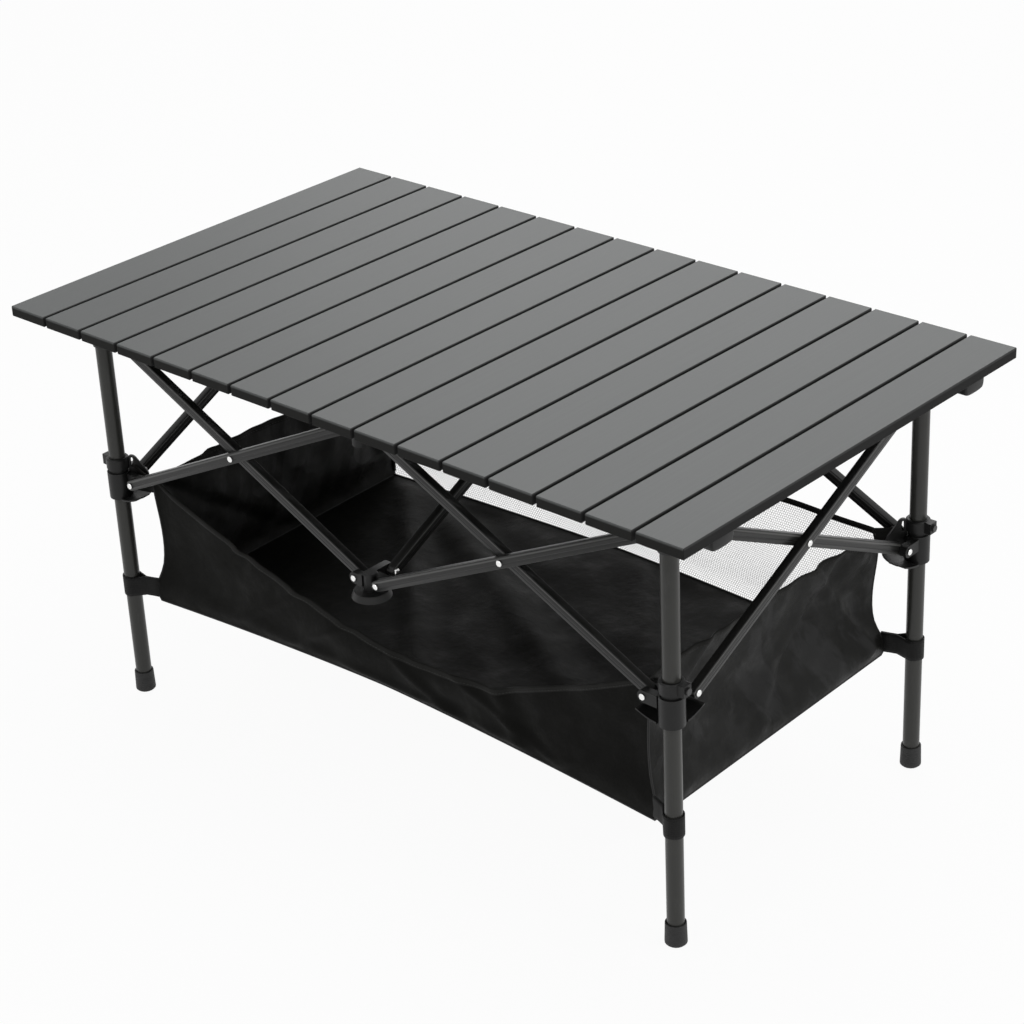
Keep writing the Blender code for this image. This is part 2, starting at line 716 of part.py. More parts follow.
def make_mesh_panel():
    """Far wall of the bag, a panel of open mesh cloth, as a plain sheet that stands on the floor."""
    half, steps = BAG_X - CLOTH, 2 * BAG_STEPS
    xs = [-half + 2 * half * i / steps for i in range(steps + 1)]
    outline = [(x, bag_floor(x) + CLOTH / 2 + FIT) for x in xs]
    outline += [(x, far_rim(x)) for x in reversed(xs)]
    matrix = side_frame(Vector((1, 0, 0)), Vector((0, BAG_Y - CLOTH / 2, 0)))
    return add_object("bag_mesh_panel", plate_mesh("bag_mesh_panel", outline, CLOTH, matrix), MESH_CLOTH)


clear_scene()
TABLE = make_collection("camping_table")
HELPERS = make_collection("cutters", helper=True)
TOP_PAINT = make_material("top_paint", (0.200, 0.205, 0.203), 0.45, 0.4)
FRAME_PAINT = make_material("frame_paint", (0.060, 0.063, 0.058), 0.38, 0.5)
HUB_PLASTIC = make_material("hub_plastic", (0.012, 0.012, 0.012), 0.45)
FOOT_RUBBER = make_material("foot_rubber", (0.014, 0.014, 0.014), 0.70)
BUTTON_PLASTIC = make_material("button_plastic", (0.028, 0.028, 0.028), 0.35)
BAG_CLOTH = make_material("bag_cloth", (0.010, 0.010, 0.009), 0.75)
MESH_CLOTH = make_material("mesh_cloth", (0.020, 0.020, 0.020), 0.85)

for slat_index in range(SLAT_COUNT):
    make_slat(slat_index)
make_rail("near", -LEG_Y)
make_rail("far", LEG_Y)
for pair_name in PAIRS:
    make_bar(pair_name, "rising")
    make_bar(pair_name, "falling")
for post_name in POSTS:
    if post_name.endswith("middle"):
        make_middle_hub(post_name, True)
        make_middle_hub(post_name, False)
    else:
        make_leg(post_name)
        make_slider(post_name)
make_bag()
make_mesh_panel()
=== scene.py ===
# %% [markdown]
# # A roll-top camping table
# The imported model is the frame: it holds every solid part of the table at its real size and
# place. This file adds what a photograph shows on top of that: paint, plastic, rivets, cords,
# cloth and light. Nothing here moves a part of the frame. Most new pieces are tied to one of its
# bodies, so they travel with it; the cords between the slats are not.

# %% Load the frame
import math

import bmesh
import bpy
import numpy as np
from mathutils import Matrix, Vector, noise


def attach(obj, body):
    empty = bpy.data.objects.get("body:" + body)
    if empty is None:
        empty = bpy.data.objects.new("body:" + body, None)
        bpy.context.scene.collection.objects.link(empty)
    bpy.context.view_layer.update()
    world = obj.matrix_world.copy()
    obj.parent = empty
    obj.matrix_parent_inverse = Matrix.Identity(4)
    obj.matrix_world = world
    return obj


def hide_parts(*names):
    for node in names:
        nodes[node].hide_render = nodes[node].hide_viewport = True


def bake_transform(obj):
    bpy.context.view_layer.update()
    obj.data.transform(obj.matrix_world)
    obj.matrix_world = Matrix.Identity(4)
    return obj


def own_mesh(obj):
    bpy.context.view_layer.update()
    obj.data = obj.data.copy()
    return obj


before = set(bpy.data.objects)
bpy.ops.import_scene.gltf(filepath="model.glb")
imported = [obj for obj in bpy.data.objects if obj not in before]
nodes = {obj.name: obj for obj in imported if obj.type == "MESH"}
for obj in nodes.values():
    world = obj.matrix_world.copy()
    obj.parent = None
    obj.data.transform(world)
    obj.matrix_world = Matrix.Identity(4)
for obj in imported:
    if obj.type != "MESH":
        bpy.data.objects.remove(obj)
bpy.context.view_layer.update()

# %% [markdown]
# ## Sizes
# The soft pieces have to meet the hard ones, so the frame's main lengths are repeated here in
# metres. Blender could read some of them from the meshes, but a short list of named values is
# easier to follow.

# %% Sizes of the frame
TOP_LENGTH, TOP_HEIGHT = 0.950, 0.500
SLAT_COUNT, SLAT_GAP = 16, 0.004
SLAT_PITCH = (TOP_LENGTH + SLAT_GAP) / SLAT_COUNT
BEFORE_FIRST_SLAT = -(TOP_LENGTH + SLAT_GAP) / 2
LEG_X, LEG_Y, LEG_RADIUS = 0.405, 0.209, 0.00925
UPPER_Z, LOWER_Z = 0.4570, 0.28297
CORNER_REACH, MIDDLE_REACH = 0.029, 0.016
BAG_X, BAG_Y, BAG_RIM, BAG_FLOOR = 0.365, 0.194, 0.28897, 0.14597
UP = Vector((0, 0, 1))
print("slat pitch", round(SLAT_PITCH, 5))

# %% [markdown]
# ## Camera
# The picture was taken from above the near right corner with a long lens. A camera can be turned
# by angles, but here its three axes are known from lining up the table's corners, so they go
# straight into a matrix: its columns are right, up and backward.

# %% Place the camera
def place_camera():
    """Camera at the picture's viewpoint, with its horizon tilted as little as the picture's."""
    forward = Vector((-0.6069, 0.6504, -0.4568)).normalized()
    right = Vector((0.7455, 0.6651, -0.0435))
    right = (right - forward * right.dot(forward)).normalized()
    up = right.cross(forward)
    camera = bpy.data.objects.new("picture_camera", bpy.data.cameras.new("picture_camera"))
    camera.matrix_world = Matrix.Translation((1.7407, -1.8517, 1.5808)) @ Matrix(
        (right, up, -forward)).transposed().to_4x4()
    camera.data.sensor_width = 36.0
    camera.data.lens = 90.7
    camera.data.clip_end = 60.0
    bpy.context.scene.collection.objects.link(camera)
    bpy.context.scene.camera = camera
    return camera


camera = place_camera()
bpy.context.scene.view_settings.view_transform = "Standard"
print("camera at", tuple(round(v, 3) for v in camera.location))

# %% [markdown]
# ## Node wiring
# A material is a small program of nodes. Placing them by hand is slow, so one class stands for a
# socket's value and turns Python's own operators into Math nodes, and one method adds any other
# node.

# %% A class for sockets and one for trees
class Wire:
    """The value that leaves one socket. Arithmetic on it adds Math nodes to its tree."""

    def __init__(self, board, socket):
        self.board, self.socket = board, socket

    def __add__(self, other):
        return self.board.math("ADD", self, other)

    def __sub__(self, other):
        return self.board.math("SUBTRACT", self, other)

    def __rsub__(self, other):
        return self.board.math("SUBTRACT", other, self)

    def __mul__(self, other):
        return self.board.math("MULTIPLY", self, other)

    def __truediv__(self, other):
        return self.board.math("DIVIDE", self, other)

    def __pow__(self, other):
        return self.board.math("POWER", self, other)

    def __abs__(self):
        return self.board.math("ABSOLUTE", self)

    __radd__, __rmul__ = __add__, __mul__

    def ramp(self, low, high):
        """0 below low, 1 above high and a smooth step between; high may be the smaller one."""
        return self.board.node("ShaderNodeMapRange", {"interpolation_type": "SMOOTHSTEP"}, {
            0: self, 1: low, 2: high, 3: 0.0, 4: 1.0})

# %% A class for node trees
class Board:
    """A node tree. node() takes a node's type, its settings and its sockets' values or links."""

    def __init__(self, tree):
        self.tree = tree

    def node(self, kind, settings=None, inputs=None, out=0):
        made = self.tree.nodes.new(kind)
        for key, value in (settings or {}).items():
            setattr(made, key, value)
        for key, value in (inputs or {}).items():
            if isinstance(value, Wire):
                self.tree.links.new(value.socket, made.inputs[key])
            else:
                made.inputs[key].default_value = value
        return Wire(self, made.outputs[out]) if len(made.outputs) else made

    def math(self, operation, *values):
        return self.node("ShaderNodeMath", {"operation": operation}, dict(enumerate(values)))

    def wave(self, place, pitch):
        """A sine that repeats after every pitch."""
        return self.math("SINE", place * (2 * math.pi / pitch))

    def split(self, vector):
        """The three numbers of a vector."""
        first = self.node("ShaderNodeSeparateXYZ", None, {0: vector})
        return [Wire(self, socket) for socket in first.socket.node.outputs]

    def join(self, x, y, z):
        return self.node("ShaderNodeCombineXYZ", None, {0: x, 1: y, 2: z})

    def noise(self, vector, scale, detail=2.0, roughness=0.5):
        return self.node("ShaderNodeTexNoise", None, {
            "Vector": vector, "Scale": scale, "Detail": detail, "Roughness": roughness})

    def mix(self, factor, a, b):
        """Colour a where the factor is 0 and colour b where it is 1."""
        return self.node("ShaderNodeMix", {"data_type": "RGBA"}, {0: factor, 6: a, 7: b}, out=2)

    def bump(self, height, distance, strength):
        return self.node("ShaderNodeBump", None, {
            "Strength": strength, "Distance": distance, "Height": height})

# %% A class for materials
class Finish(Board):
    """A material in the making: a Principled shader whose plain numbers are set on its sockets."""

    def __init__(self, name, **constants):
        self.material = bpy.data.materials.new(name)
        self.material.use_nodes = True
        super().__init__(self.material.node_tree)
        self.shader = self.tree.nodes["Principled BSDF"]
        for key, value in constants.items():
            self.shader.inputs[key.replace("_", " ")].default_value = value

    def place(self):
        """Position in the frame, in metres."""
        return self.node("ShaderNodeTexCoord", None, None, out=3)

    def cloth_place(self):
        """Position on the flat cloth in metres, from the piece's own UV map."""
        return self.node("ShaderNodeTexCoord", None, None, out=2)

    def lay(self, **links):
        """Links values to the shader's sockets and hands back the finished material."""
        for key, value in links.items():
            self.tree.links.new(value.socket, self.shader.inputs[key.replace("_", " ")])
        return self.material

# %% Colours and dressing
def grey(value, warm=0.0):
    """A near-neutral colour; warm above 0 leans to olive."""
    bright = value * (1 + 0.2 * warm)
    return (bright, bright, value * (1 - warm), 1.0)


def dress(prefix, material):
    """Gives a material to every part of the frame whose name starts with the prefix."""
    dressed = [name for name in nodes if name.startswith(prefix)]
    for name in dressed:
        for slot in nodes[name].material_slots:
            slot.material = material
    print(material.name, "on", len(dressed), "parts")

# %% [markdown]
# ## Room and light
# The real table was shot in a white studio, so the room is a wide pale floor under a white world.
# A white background must not come from more light on the table, so the floor and the world are
# brighter only for rays that the camera, a gloss or a glass sees directly. One large soft light
# hangs above the table, and another stands behind it, where the painted top mirrors it. A weak
# one at the side lifts the end of the bag, and two small ones draw thin bright lines along the
# bars.

# %% Floor, world and lights
AMBIENT, FLOOR_GLOW = 0.30, 0.95
LAMPS = {  # name: place, target, size in metres, power in watts
    "soft_ceiling": ((-0.1, 0.5, 2.6), (0, 0, 0.3), 2.4, 34),
    "soft_back": ((-2.3, 3.5, 2.0), (0, 0.2, 0.5), 2.8, 34),
    "soft_side": ((2.2, 0.6, 1.1), (0.3, 0, 0.25), 1.0, 6),
    "small_front": ((0.3, -2.1, 2.4), (0, -0.2, 0.35), 0.35, 6),
    "small_right": ((2.5, 0.2, 2.4), (0.4, 0, 0.35), 0.35, 6),
}


def seen_directly(board):
    """1 for rays that look straight at a surface, or at its mirror image."""
    outputs = board.node("ShaderNodeLightPath").socket.node.outputs
    camera_ray, glossy_ray, glass_ray = (
        Wire(board, outputs[f"Is {kind} Ray"]) for kind in ("Camera", "Glossy", "Transmission"))
    return board.math("MAXIMUM", board.math("MAXIMUM", camera_ray, glossy_ray), glass_ray)


def build_room():
    bpy.ops.mesh.primitive_grid_add(x_subdivisions=8, y_subdivisions=8, size=24)
    floor = bpy.context.object
    floor.name = "studio_floor"
    paper = Finish("studio paper", Roughness=0.9, Specular_IOR_Level=0.0)
    tone = paper.noise(paper.place(), 1.5)
    paper.lay(Base_Color=paper.mix(tone, (0.84, 0.84, 0.84, 1), (0.87, 0.87, 0.87, 1)))
    glow = paper.node("ShaderNodeEmission", None, {0: (1, 1, 1, 1), 1: 1.0})
    both = paper.node("ShaderNodeMixShader", None, {
        0: seen_directly(paper) * FLOOR_GLOW, 1: Wire(paper, paper.shader.outputs[0]), 2: glow})
    paper.tree.links.new(both.socket, paper.tree.nodes["Material Output"].inputs[0])
    floor.data.materials.append(paper.material)

    world = bpy.data.worlds.new("studio")
    world.use_nodes = True
    bpy.context.scene.world = world
    board = Board(world.node_tree)
    background = world.node_tree.nodes["Background"]
    background.inputs[0].default_value = (1, 1, 1, 1)
    strength = seen_directly(board) * (1 - AMBIENT) + AMBIENT
    world.node_tree.links.new(strength.socket, background.inputs[1])


def add_light(name, place, target, size, power):
    lamp = bpy.data.lights.new(name, "AREA")
    lamp.shape, lamp.size, lamp.energy = "SQUARE", size, power
    light = bpy.data.objects.new(name, lamp)
    light.location = place
    light.rotation_euler = (Vector(target) - Vector(place)).to_track_quat("-Z", "Y").to_euler()
    bpy.context.scene.collection.objects.link(light)


build_room()
for name, settings in LAMPS.items():
    add_light(name, *settings)
print("room built, lamps:", len(LAMPS))

# %% [markdown]
# ## Painted slats
# The top is extruded aluminium under a dark satin powder coat. The coat has a fine pebble, and the
# metal below it shows faint lines along each slat. The sides and ends of the slats are painted much
# darker than the top, and the rounded edges beside the gaps are painted near black: both are
# painted shade. Noise stretched along the slat gives the lines and finer noise the pebble. The real
# slats lie at slightly different tilts, so a random number for each slat lightens its top a little,
# as painted sheen.

# %% Paint for the top
EDGE_START, EDGE_END = 0.0011, 0.0004


def cool(value):
    """A grey that leans a little to green, as the top's paint does."""
    return (value * 0.965, value * 1.01, value, 1.0)


def slat_paint():
    paint = Finish("slat paint", IOR=1.5, Specular_IOR_Level=0.25)
    place = paint.place()
    x, y, z = paint.split(place)
    lines = paint.noise(paint.join(x * 420, y * 4, z * 420), 1.0, 3.0)
    pebble = paint.noise(place, 1500.0, 2.0)
    cloud = paint.noise(place, 7.0, 3.0)
    on_top = z.ramp(TOP_HEIGHT - 0.0030, TOP_HEIGHT - 0.0004)
    along = x - BEFORE_FIRST_SLAT
    from_middle = abs(paint.math("FLOORED_MODULO", along, SLAT_PITCH) - SLAT_PITCH / 2)
    half_slat = (SLAT_PITCH - SLAT_GAP) / 2
    edge = from_middle.ramp(half_slat - EDGE_START, half_slat - EDGE_END)
    # Painted sheen: each slat's top gets a random lighter tone, standing in for the sheen that
    # slightly tilted slats catch.
    tilt_sheen = paint.node("ShaderNodeTexWhiteNoise", {"noise_dimensions": "1D"}, {
        "W": paint.math("FLOOR", along / SLAT_PITCH) + 3.0})
    # Painted shade: every face below the top (the sides and ends of the slats) gets a much darker
    # tone than the top. The paint is the same.
    tone = paint.mix(on_top, grey(0.011, 0.06), cool(0.086))
    tone = paint.mix(tilt_sheen * 0.35 * on_top, tone, cool(0.108))
    tone = paint.mix(((cloud - 0.5) * 0.4 + 0.15) * on_top, tone, cool(0.112))
    tone = paint.mix((lines - 0.42) * 0.6 * on_top, tone, cool(0.15))
    # Painted shade: the rounded edge beside each gap is painted near black, where the top turns
    # away into the gap.
    tone = paint.mix(edge * 0.9, tone, grey(0.012))
    normal = paint.bump(lines * 0.6 + pebble * 0.5, 0.00006, 0.6)
    rough = pebble * 0.16 + lines * 0.08 + 0.72 - on_top * 0.36
    return paint.lay(Base_Color=tone, Roughness=rough, Normal=normal)


dress("slat_", slat_paint())

# %% [markdown]
# ## Painted frame
# The bars are flattened tubes with a soft line pressed along them. The line is also painted dark as
# shade, and a pale line along the upper shoulder is a painted highlight. Every bar lies in its own
# direction, so each gets its own copy of the paint, with the bar's centre and its upright direction
# written in: their dot product with a point says how far up the bar's side the point is.

# %% Paint for the bars, rails and legs
GROOVE_LEVEL, SHOULDER_LEVEL = -0.0016, 0.0040


def tube_paint(name, centre=None, across=None, base=0.012):
    """Olive-grey paint. With a centre and a direction across a bar, a line is pressed along it and
    painted dark as shade, and a highlight is painted along the upper shoulder.
    """
    paint = Finish(name, IOR=1.5, Specular_IOR_Level=0.22, Coat_Weight=0.16, Coat_Roughness=0.14)
    place = paint.place()
    pebble = paint.noise(place, 1300.0, 2.0)
    cloud = paint.noise(place, 11.0, 3.0)
    height = pebble * 0.00005
    tone = paint.mix(cloud, grey(base * 0.88, 0.06), grey(base * 1.15, 0.05))
    if centre is not None:
        offset = paint.node(
            "ShaderNodeVectorMath", {"operation": "SUBTRACT"}, {0: place, 1: centre})
        level = paint.node(
            "ShaderNodeVectorMath", {"operation": "DOT_PRODUCT"}, {0: offset, 1: across}, out=1)
        groove_and_shade = abs(level - GROOVE_LEVEL).ramp(0.0010, 0.0003)
        shoulder_highlight = abs(level - SHOULDER_LEVEL).ramp(0.0014, 0.0002)
        # The pressed line is bump, and it is also painted near black as painted shade in it.
        tone = paint.mix(groove_and_shade * 0.9, tone, grey(0.003))
        # Painted highlight: a pale line along the bar's upper shoulder.
        tone = paint.mix(shoulder_highlight * 0.8, tone, grey(0.125, 0.03))
        height = height - groove_and_shade * 0.0006
    normal = paint.bump(height, 1.0, 0.8)
    return paint.lay(Base_Color=tone, Roughness=pebble * 0.15 + 0.30, Normal=normal)

# %% Where the bars lie
POSTS = {
    side + "_" + where: Vector((x, y, 0))
    for side, y in (("near", -LEG_Y), ("far", LEG_Y))
    for where, x in (("left", -LEG_X), ("middle", 0), ("right", LEG_X))
}
PAIRS = {
    "near_left": ("near_left", "near_middle"), "near_right": ("near_middle", "near_right"),
    "far_left": ("far_middle", "far_left"), "far_right": ("far_right", "far_middle"),
    "left_end": ("far_left", "near_left"), "right_end": ("near_right", "far_right"),
    "middle": ("near_middle", "far_middle"),
}


def pivot(post, direction, height):
    """Centre of a hub's pivot, midway between the two bars of the pair."""
    reach = MIDDLE_REACH if post.endswith("middle") and abs(direction.x) > 0.5 else CORNER_REACH
    return POSTS[post] + direction * reach + UP * height


for pair, (left, right) in PAIRS.items():
    direction = (POSTS[right] - POSTS[left]).normalized()
    for kind, low, high in (("rising", LOWER_Z, UPPER_Z), ("falling", UPPER_Z, LOWER_Z)):
        start, end = pivot(left, direction, low), pivot(right, -direction, high)
        across = direction.cross(UP).cross((end - start).normalized())
        across = across if across.z > 0 else -across
        paint = tube_paint(f"bar paint {pair} {kind}", (start + end) / 2, across)
        dress(f"bar_{pair}_{kind}", paint)
dress("rail_", tube_paint("rail paint", base=0.016))

# %% Paint for the legs
def leg_paint():
    """Lighter paint on drawn tube, a little rubbed by the sliders."""
    paint = Finish("leg paint", IOR=1.5, Specular_IOR_Level=0.34)
    place = paint.place()
    x, y, z = paint.split(place)
    pebble = paint.noise(place, 1300.0, 2.0)
    drawn = paint.noise(paint.join(x * 900, y * 900, z * 5), 1.0, 2.0)
    rub = paint.noise(paint.join(x * 60, y * 60, z * 25), 1.0, 3.0)
    tone = paint.mix(drawn, grey(0.036, 0.08), grey(0.046, 0.08))
    tone = paint.mix(rub.ramp(0.62, 0.78) * 0.25, tone, grey(0.115))
    normal = paint.bump(pebble * 0.5 + drawn * 0.5, 0.00006, 0.7)
    return paint.lay(Base_Color=tone, Roughness=pebble * 0.14 + 0.27, Normal=normal)


dress("leg_", leg_paint())

# %% [markdown]
# ## Moulded plastic and rubber
# Hubs and sliders are injection-moulded nylon: near black, satin, with a fine spark texture from
# the mould. The lips of the sliders' bowls and of the lower middle hubs' dishes are painted lighter
# as highlights where they catch the light, so a mask picks them out by the distance from the post.
# The foot caps are softer rubber with turned rings. Rings are a wave of the height, used only as
# bump, because the real grooves are too shallow to change the outline.

# %% Hub plastic
BOWL_RIM, DISH_RIM, FOOT_RING_PITCH = (0.0345, 0.0368), (0.0185, 0.0200), 0.0025


def hub_plastic(name, dark, light):
    """Satin black nylon with highlights painted on the lips of the sliders' bowls and of the lower
    middle hubs.
    """
    plastic = Finish(name, IOR=1.5, Specular_IOR_Level=0.30)
    place = plastic.place()
    spark = plastic.noise(place, 2200.0, 3.0, 0.7)
    flow = plastic.noise(place, 45.0, 2.0)
    tone = plastic.mix(flow, grey(dark), grey(light, 0.02))
    x, y, z = plastic.split(place)
    from_row, from_middle = abs(abs(y) - LEG_Y), abs(x)
    from_end = abs(from_middle - LEG_X)
    rim = ((from_end * from_end + from_row * from_row) ** 0.5).ramp(*BOWL_RIM)
    dish = ((from_middle * from_middle + from_row * from_row) ** 0.5).ramp(*DISH_RIM)
    lip_highlight = rim * from_middle.ramp(0.2, 0.3) + dish * from_middle.ramp(0.05, 0.04) * 0.4
    low = z.ramp(LOWER_Z - 0.009, LOWER_Z - 0.011)
    # Painted highlight on the lips of the bowls and dishes, low on the hubs.
    tone = plastic.mix(lip_highlight * low * 0.9, tone, grey(0.036, 0.02))
    normal = plastic.bump(spark, 0.00008, 0.7)
    rough = flow * 0.12 + spark * 0.10 + 0.34
    return plastic.lay(Base_Color=tone, Roughness=rough, Normal=normal)

# %% Rubber and buttons
def foot_rubber():
    rubber = Finish("foot rubber", IOR=1.45)
    place = rubber.place()
    z = rubber.split(place)[2]
    ring = rubber.wave(z, FOOT_RING_PITCH).ramp(0.2, 0.95)
    body = z.ramp(0.004, 0.007) * z.ramp(0.022, 0.019)
    dust = rubber.noise(place, 120.0, 3.0)
    scuff = z.ramp(0.006, 0.0) * dust
    tone = rubber.mix(dust, grey(0.012), grey(0.020))
    tone = rubber.mix(scuff * 0.5, tone, grey(0.075, 0.06))
    normal = rubber.bump(ring * body * -0.0004 + dust * 0.00004, 1.0, 0.9)
    return rubber.lay(Base_Color=tone, Roughness=dust * 0.2 + 0.5, Normal=normal)


def button_plastic():
    plastic = Finish("button plastic", IOR=1.5)
    place = plastic.place()
    spark = plastic.noise(place, 1800.0, 2.0)
    worn = plastic.noise(place, 260.0, 2.0)
    tone = plastic.mix(worn, grey(0.020), grey(0.036))
    return plastic.lay(
        Base_Color=tone, Roughness=worn * 0.15 + 0.25, Normal=plastic.bump(spark, 0.00005, 0.5))


HUB_PLASTIC = hub_plastic("hub plastic", 0.0050, 0.0080)
for prefix in ("slider_hub_", "upper_hub_", "lower_hub_"):
    dress(prefix, HUB_PLASTIC)
dress("top_hub_", hub_plastic("top hub plastic", 0.026, 0.034))
dress("foot_", foot_rubber())
dress("lock_button_", button_plastic())

# %% [markdown]
# ## Bright metal, webbing, cloth and cord finishes
# Rivets are plain aluminium, so nearly white. The bag is black oxford cloth: a plain weave, which
# is one sine wave across the other. Its creases are left to the mesh where they are large and to
# bump where they are small, and its raised folds are painted a little lighter as painted sheen. The
# end walls show more of the cloth's coating: crumpled ridges in the bump and smoother folds, with
# paler patches painted on them as painted highlights.

# %% Rivet metal
def rivet_metal():
    metal = Finish("rivet metal", Metallic=1.0)
    place = metal.place()
    brushed = metal.noise(place, 900.0, 2.0)
    tone = metal.mix(brushed, (0.80, 0.80, 0.79, 1), (0.95, 0.95, 0.94, 1))
    return metal.lay(
        Base_Color=tone, Roughness=brushed * 0.15 + 0.18, Normal=metal.bump(brushed, 0.00004, 0.5))

# %% Cloth
WEAVE_PITCH, RIB_PITCH, STRAP_ROW_PITCH = 0.0011, 0.0015, 0.0025


def bag_cloth(name, base, crease=1.0, gloss=0.08, shine=0.0):
    """Woven black cloth. The UV map is the flat cloth in metres, so the weave bends with it."""
    cloth = Finish(name, IOR=1.45, Specular_IOR_Level=gloss)
    spot = cloth.cloth_place()
    u, v, _ = cloth.split(spot)
    weave = cloth.wave(u, WEAVE_PITCH) * cloth.wave(v, WEAVE_PITCH)
    fold = cloth.noise(spot, 26.0, 3.0, 0.55)
    crush = cloth.noise(spot, 90.0, 2.0, 0.5)
    ridge = abs(cloth.noise(spot, 13.0, 2.0, 0.45) - 0.5)
    tone = cloth.mix(weave * 0.5 + 0.5, grey(base * 0.75, 0.12), grey(base * 1.3, 0.12))
    # Painted sheen: the raised folds are painted a little lighter.
    tone = cloth.mix(fold.ramp(0.55, 0.75) * 0.25, tone, grey(base * 1.7, 0.10))
    if shine:
        # Painted highlight: pale patches on the glossier end walls.
        highlight_patch = cloth.noise(cloth.join(u * 24 + v * 9, v * 10, 0.7), 1.0, 4.0, 0.55)
        tone = cloth.mix(highlight_patch.ramp(0.53, 0.62) * (0.6 * shine), tone, grey(base * 6))
    height = weave * 0.00005 + fold * (0.0022 * crease) + crush * (0.0005 * crease)
    height = height - ridge * (0.012 * shine)
    normal = cloth.bump(height, 1.0, 0.75)
    rough = 0.62 - fold.ramp(0.45, 0.75) * (0.12 + 0.12 * shine)
    return cloth.lay(Base_Color=tone, Roughness=rough, Normal=normal)

# %% Webbing and thread
def webbing():
    """Black strap woven with ribs across its width."""
    strap = Finish("strap webbing", IOR=1.45, Specular_IOR_Level=0.2, Sheen_Weight=0.04)
    spot = strap.cloth_place()
    u, v, _ = strap.split(spot)
    weave = strap.wave(u, RIB_PITCH) * 0.7 + strap.wave(v, STRAP_ROW_PITCH) * 0.3
    tone = strap.mix(weave * 0.5 + 0.5, grey(0.005), grey(0.012, 0.03))
    return strap.lay(
        Base_Color=tone, Roughness=weave * 0.05 + 0.62, Normal=strap.bump(weave, 0.00016, 0.9))


def thread(name, base, rough=0.55):
    """Twisted yarn of one tone."""
    yarn = Finish(name, IOR=1.45)
    place = yarn.place()
    twist = yarn.noise(place, 1600.0, 2.0)
    tone = yarn.mix(twist, grey(base * 0.7), grey(base * 1.3, 0.02))
    return yarn.lay(
        Base_Color=tone, Roughness=twist * 0.2 + rough, Normal=yarn.bump(twist, 0.0001, 0.8))


RIVET = rivet_metal()
WALL_CLOTH = bag_cloth("bag cloth", 0.0046)
END_CLOTH = bag_cloth("coated end cloth", 0.0048, gloss=0.22, shine=1.0)
# The hem cloth's lighter base is a painted highlight for the folded rims catching the light. The
# corner ears reuse it.
HEM_CLOTH = bag_cloth("hem cloth", 0.0075, crease=0.25, gloss=0.18)
WEBBING = webbing()
STITCH = thread("stitch thread", 0.016)
SEAM_CORD = thread("seam cord", 0.008)
NET_YARN = thread("net yarn", 0.055)
CORD_YARN = thread("slat cord yarn", 0.13, 0.5)
print("textile finishes ready")

# %% [markdown]
# ## Geometry Nodes for what repeats
# Rivet heads, stitches and the net are the same small shape many times over. A node tree makes
# each from a few named sizes. Realize Instances turns the copies into real faces, and the result
# is then copied out as a plain mesh, because a piece that moves with a body must not change
# afterwards.

# %% Helpers to build a tree and to keep its result
KINDS = {float: "NodeSocketFloat", int: "NodeSocketInt"}


def repeat_tree(name, sizes):
    """An empty Geometry Nodes tree with a geometry input, named sizes and a material input."""
    tree = bpy.data.node_groups.new(name, "GeometryNodeTree")
    face = tree.interface
    face.new_socket("Geometry", in_out="OUTPUT", socket_type="NodeSocketGeometry")
    face.new_socket("Geometry", in_out="INPUT", socket_type="NodeSocketGeometry")
    for key, value in sizes.items():
        socket = face.new_socket(key, in_out="INPUT", socket_type=KINDS[type(value)])
        socket.default_value = value
    face.new_socket("Material", in_out="INPUT", socket_type="NodeSocketMaterial")
    board = Board(tree)
    start = board.node("NodeGroupInput").socket.node
    return board, {socket.name: Wire(board, socket) for socket in start.outputs if socket.name}


def close_tree(board, given, result):
    """Every tree ends the same way: real faces, smooth, in the given material."""
    real = board.node("GeometryNodeRealizeInstances", None, {0: result})
    soft = board.node("GeometryNodeSetShadeSmooth", None, {0: real})
    painted = board.node("GeometryNodeSetMaterial", None, {
        "Geometry": soft, "Material": given["Material"]})
    board.node("NodeGroupOutput", None, {0: painted})
    return board.tree

# %% Run a tree and keep its mesh
def grow(name, seed_mesh, tree, material, **sizes):
    """Runs a tree on a mesh and returns the result as an object with a plain mesh."""
    seed = bpy.data.objects.new(name + "_seed", seed_mesh)
    bpy.context.scene.collection.objects.link(seed)
    modifier = seed.modifiers.new("repeat", "NODES")
    modifier.node_group = tree
    for item in tree.interface.items_tree:
        if item.in_out == "INPUT" and item.name in sizes:
            modifier[item.identifier] = sizes[item.name]
        elif item.in_out == "INPUT" and item.name == "Material":
            modifier[item.identifier] = material
    bpy.context.view_layer.update()
    settled = seed.evaluated_get(bpy.context.evaluated_depsgraph_get())
    mesh = bpy.data.meshes.new_from_object(settled)
    mesh.name = name
    bpy.data.objects.remove(seed)
    return keep(name, mesh, material)


def keep(name, mesh, material):
    """Links a finished mesh as a piece at the origin."""
    mesh.materials.clear()
    mesh.materials.append(material)
    piece = bpy.data.objects.new(name, mesh)
    bpy.context.scene.collection.objects.link(piece)
    return piece

# %% [markdown]
# ## Soft edges on the frame
# The frame comes in as loose flat triangles. Moulded and extruded parts have small rounded edges
# that catch the light, and round parts shade smoothly. The frame's meshes must stay as they are,
# so this is a pair of modifiers: a tree joins the triangles and marks only real edges as sharp,
# and a narrow bevel rounds those.

# %% Soften the hard parts
SMOOTH_BELOW, JOIN_WITHIN = 0.6, 0.000005  # radians between faces, metres between points


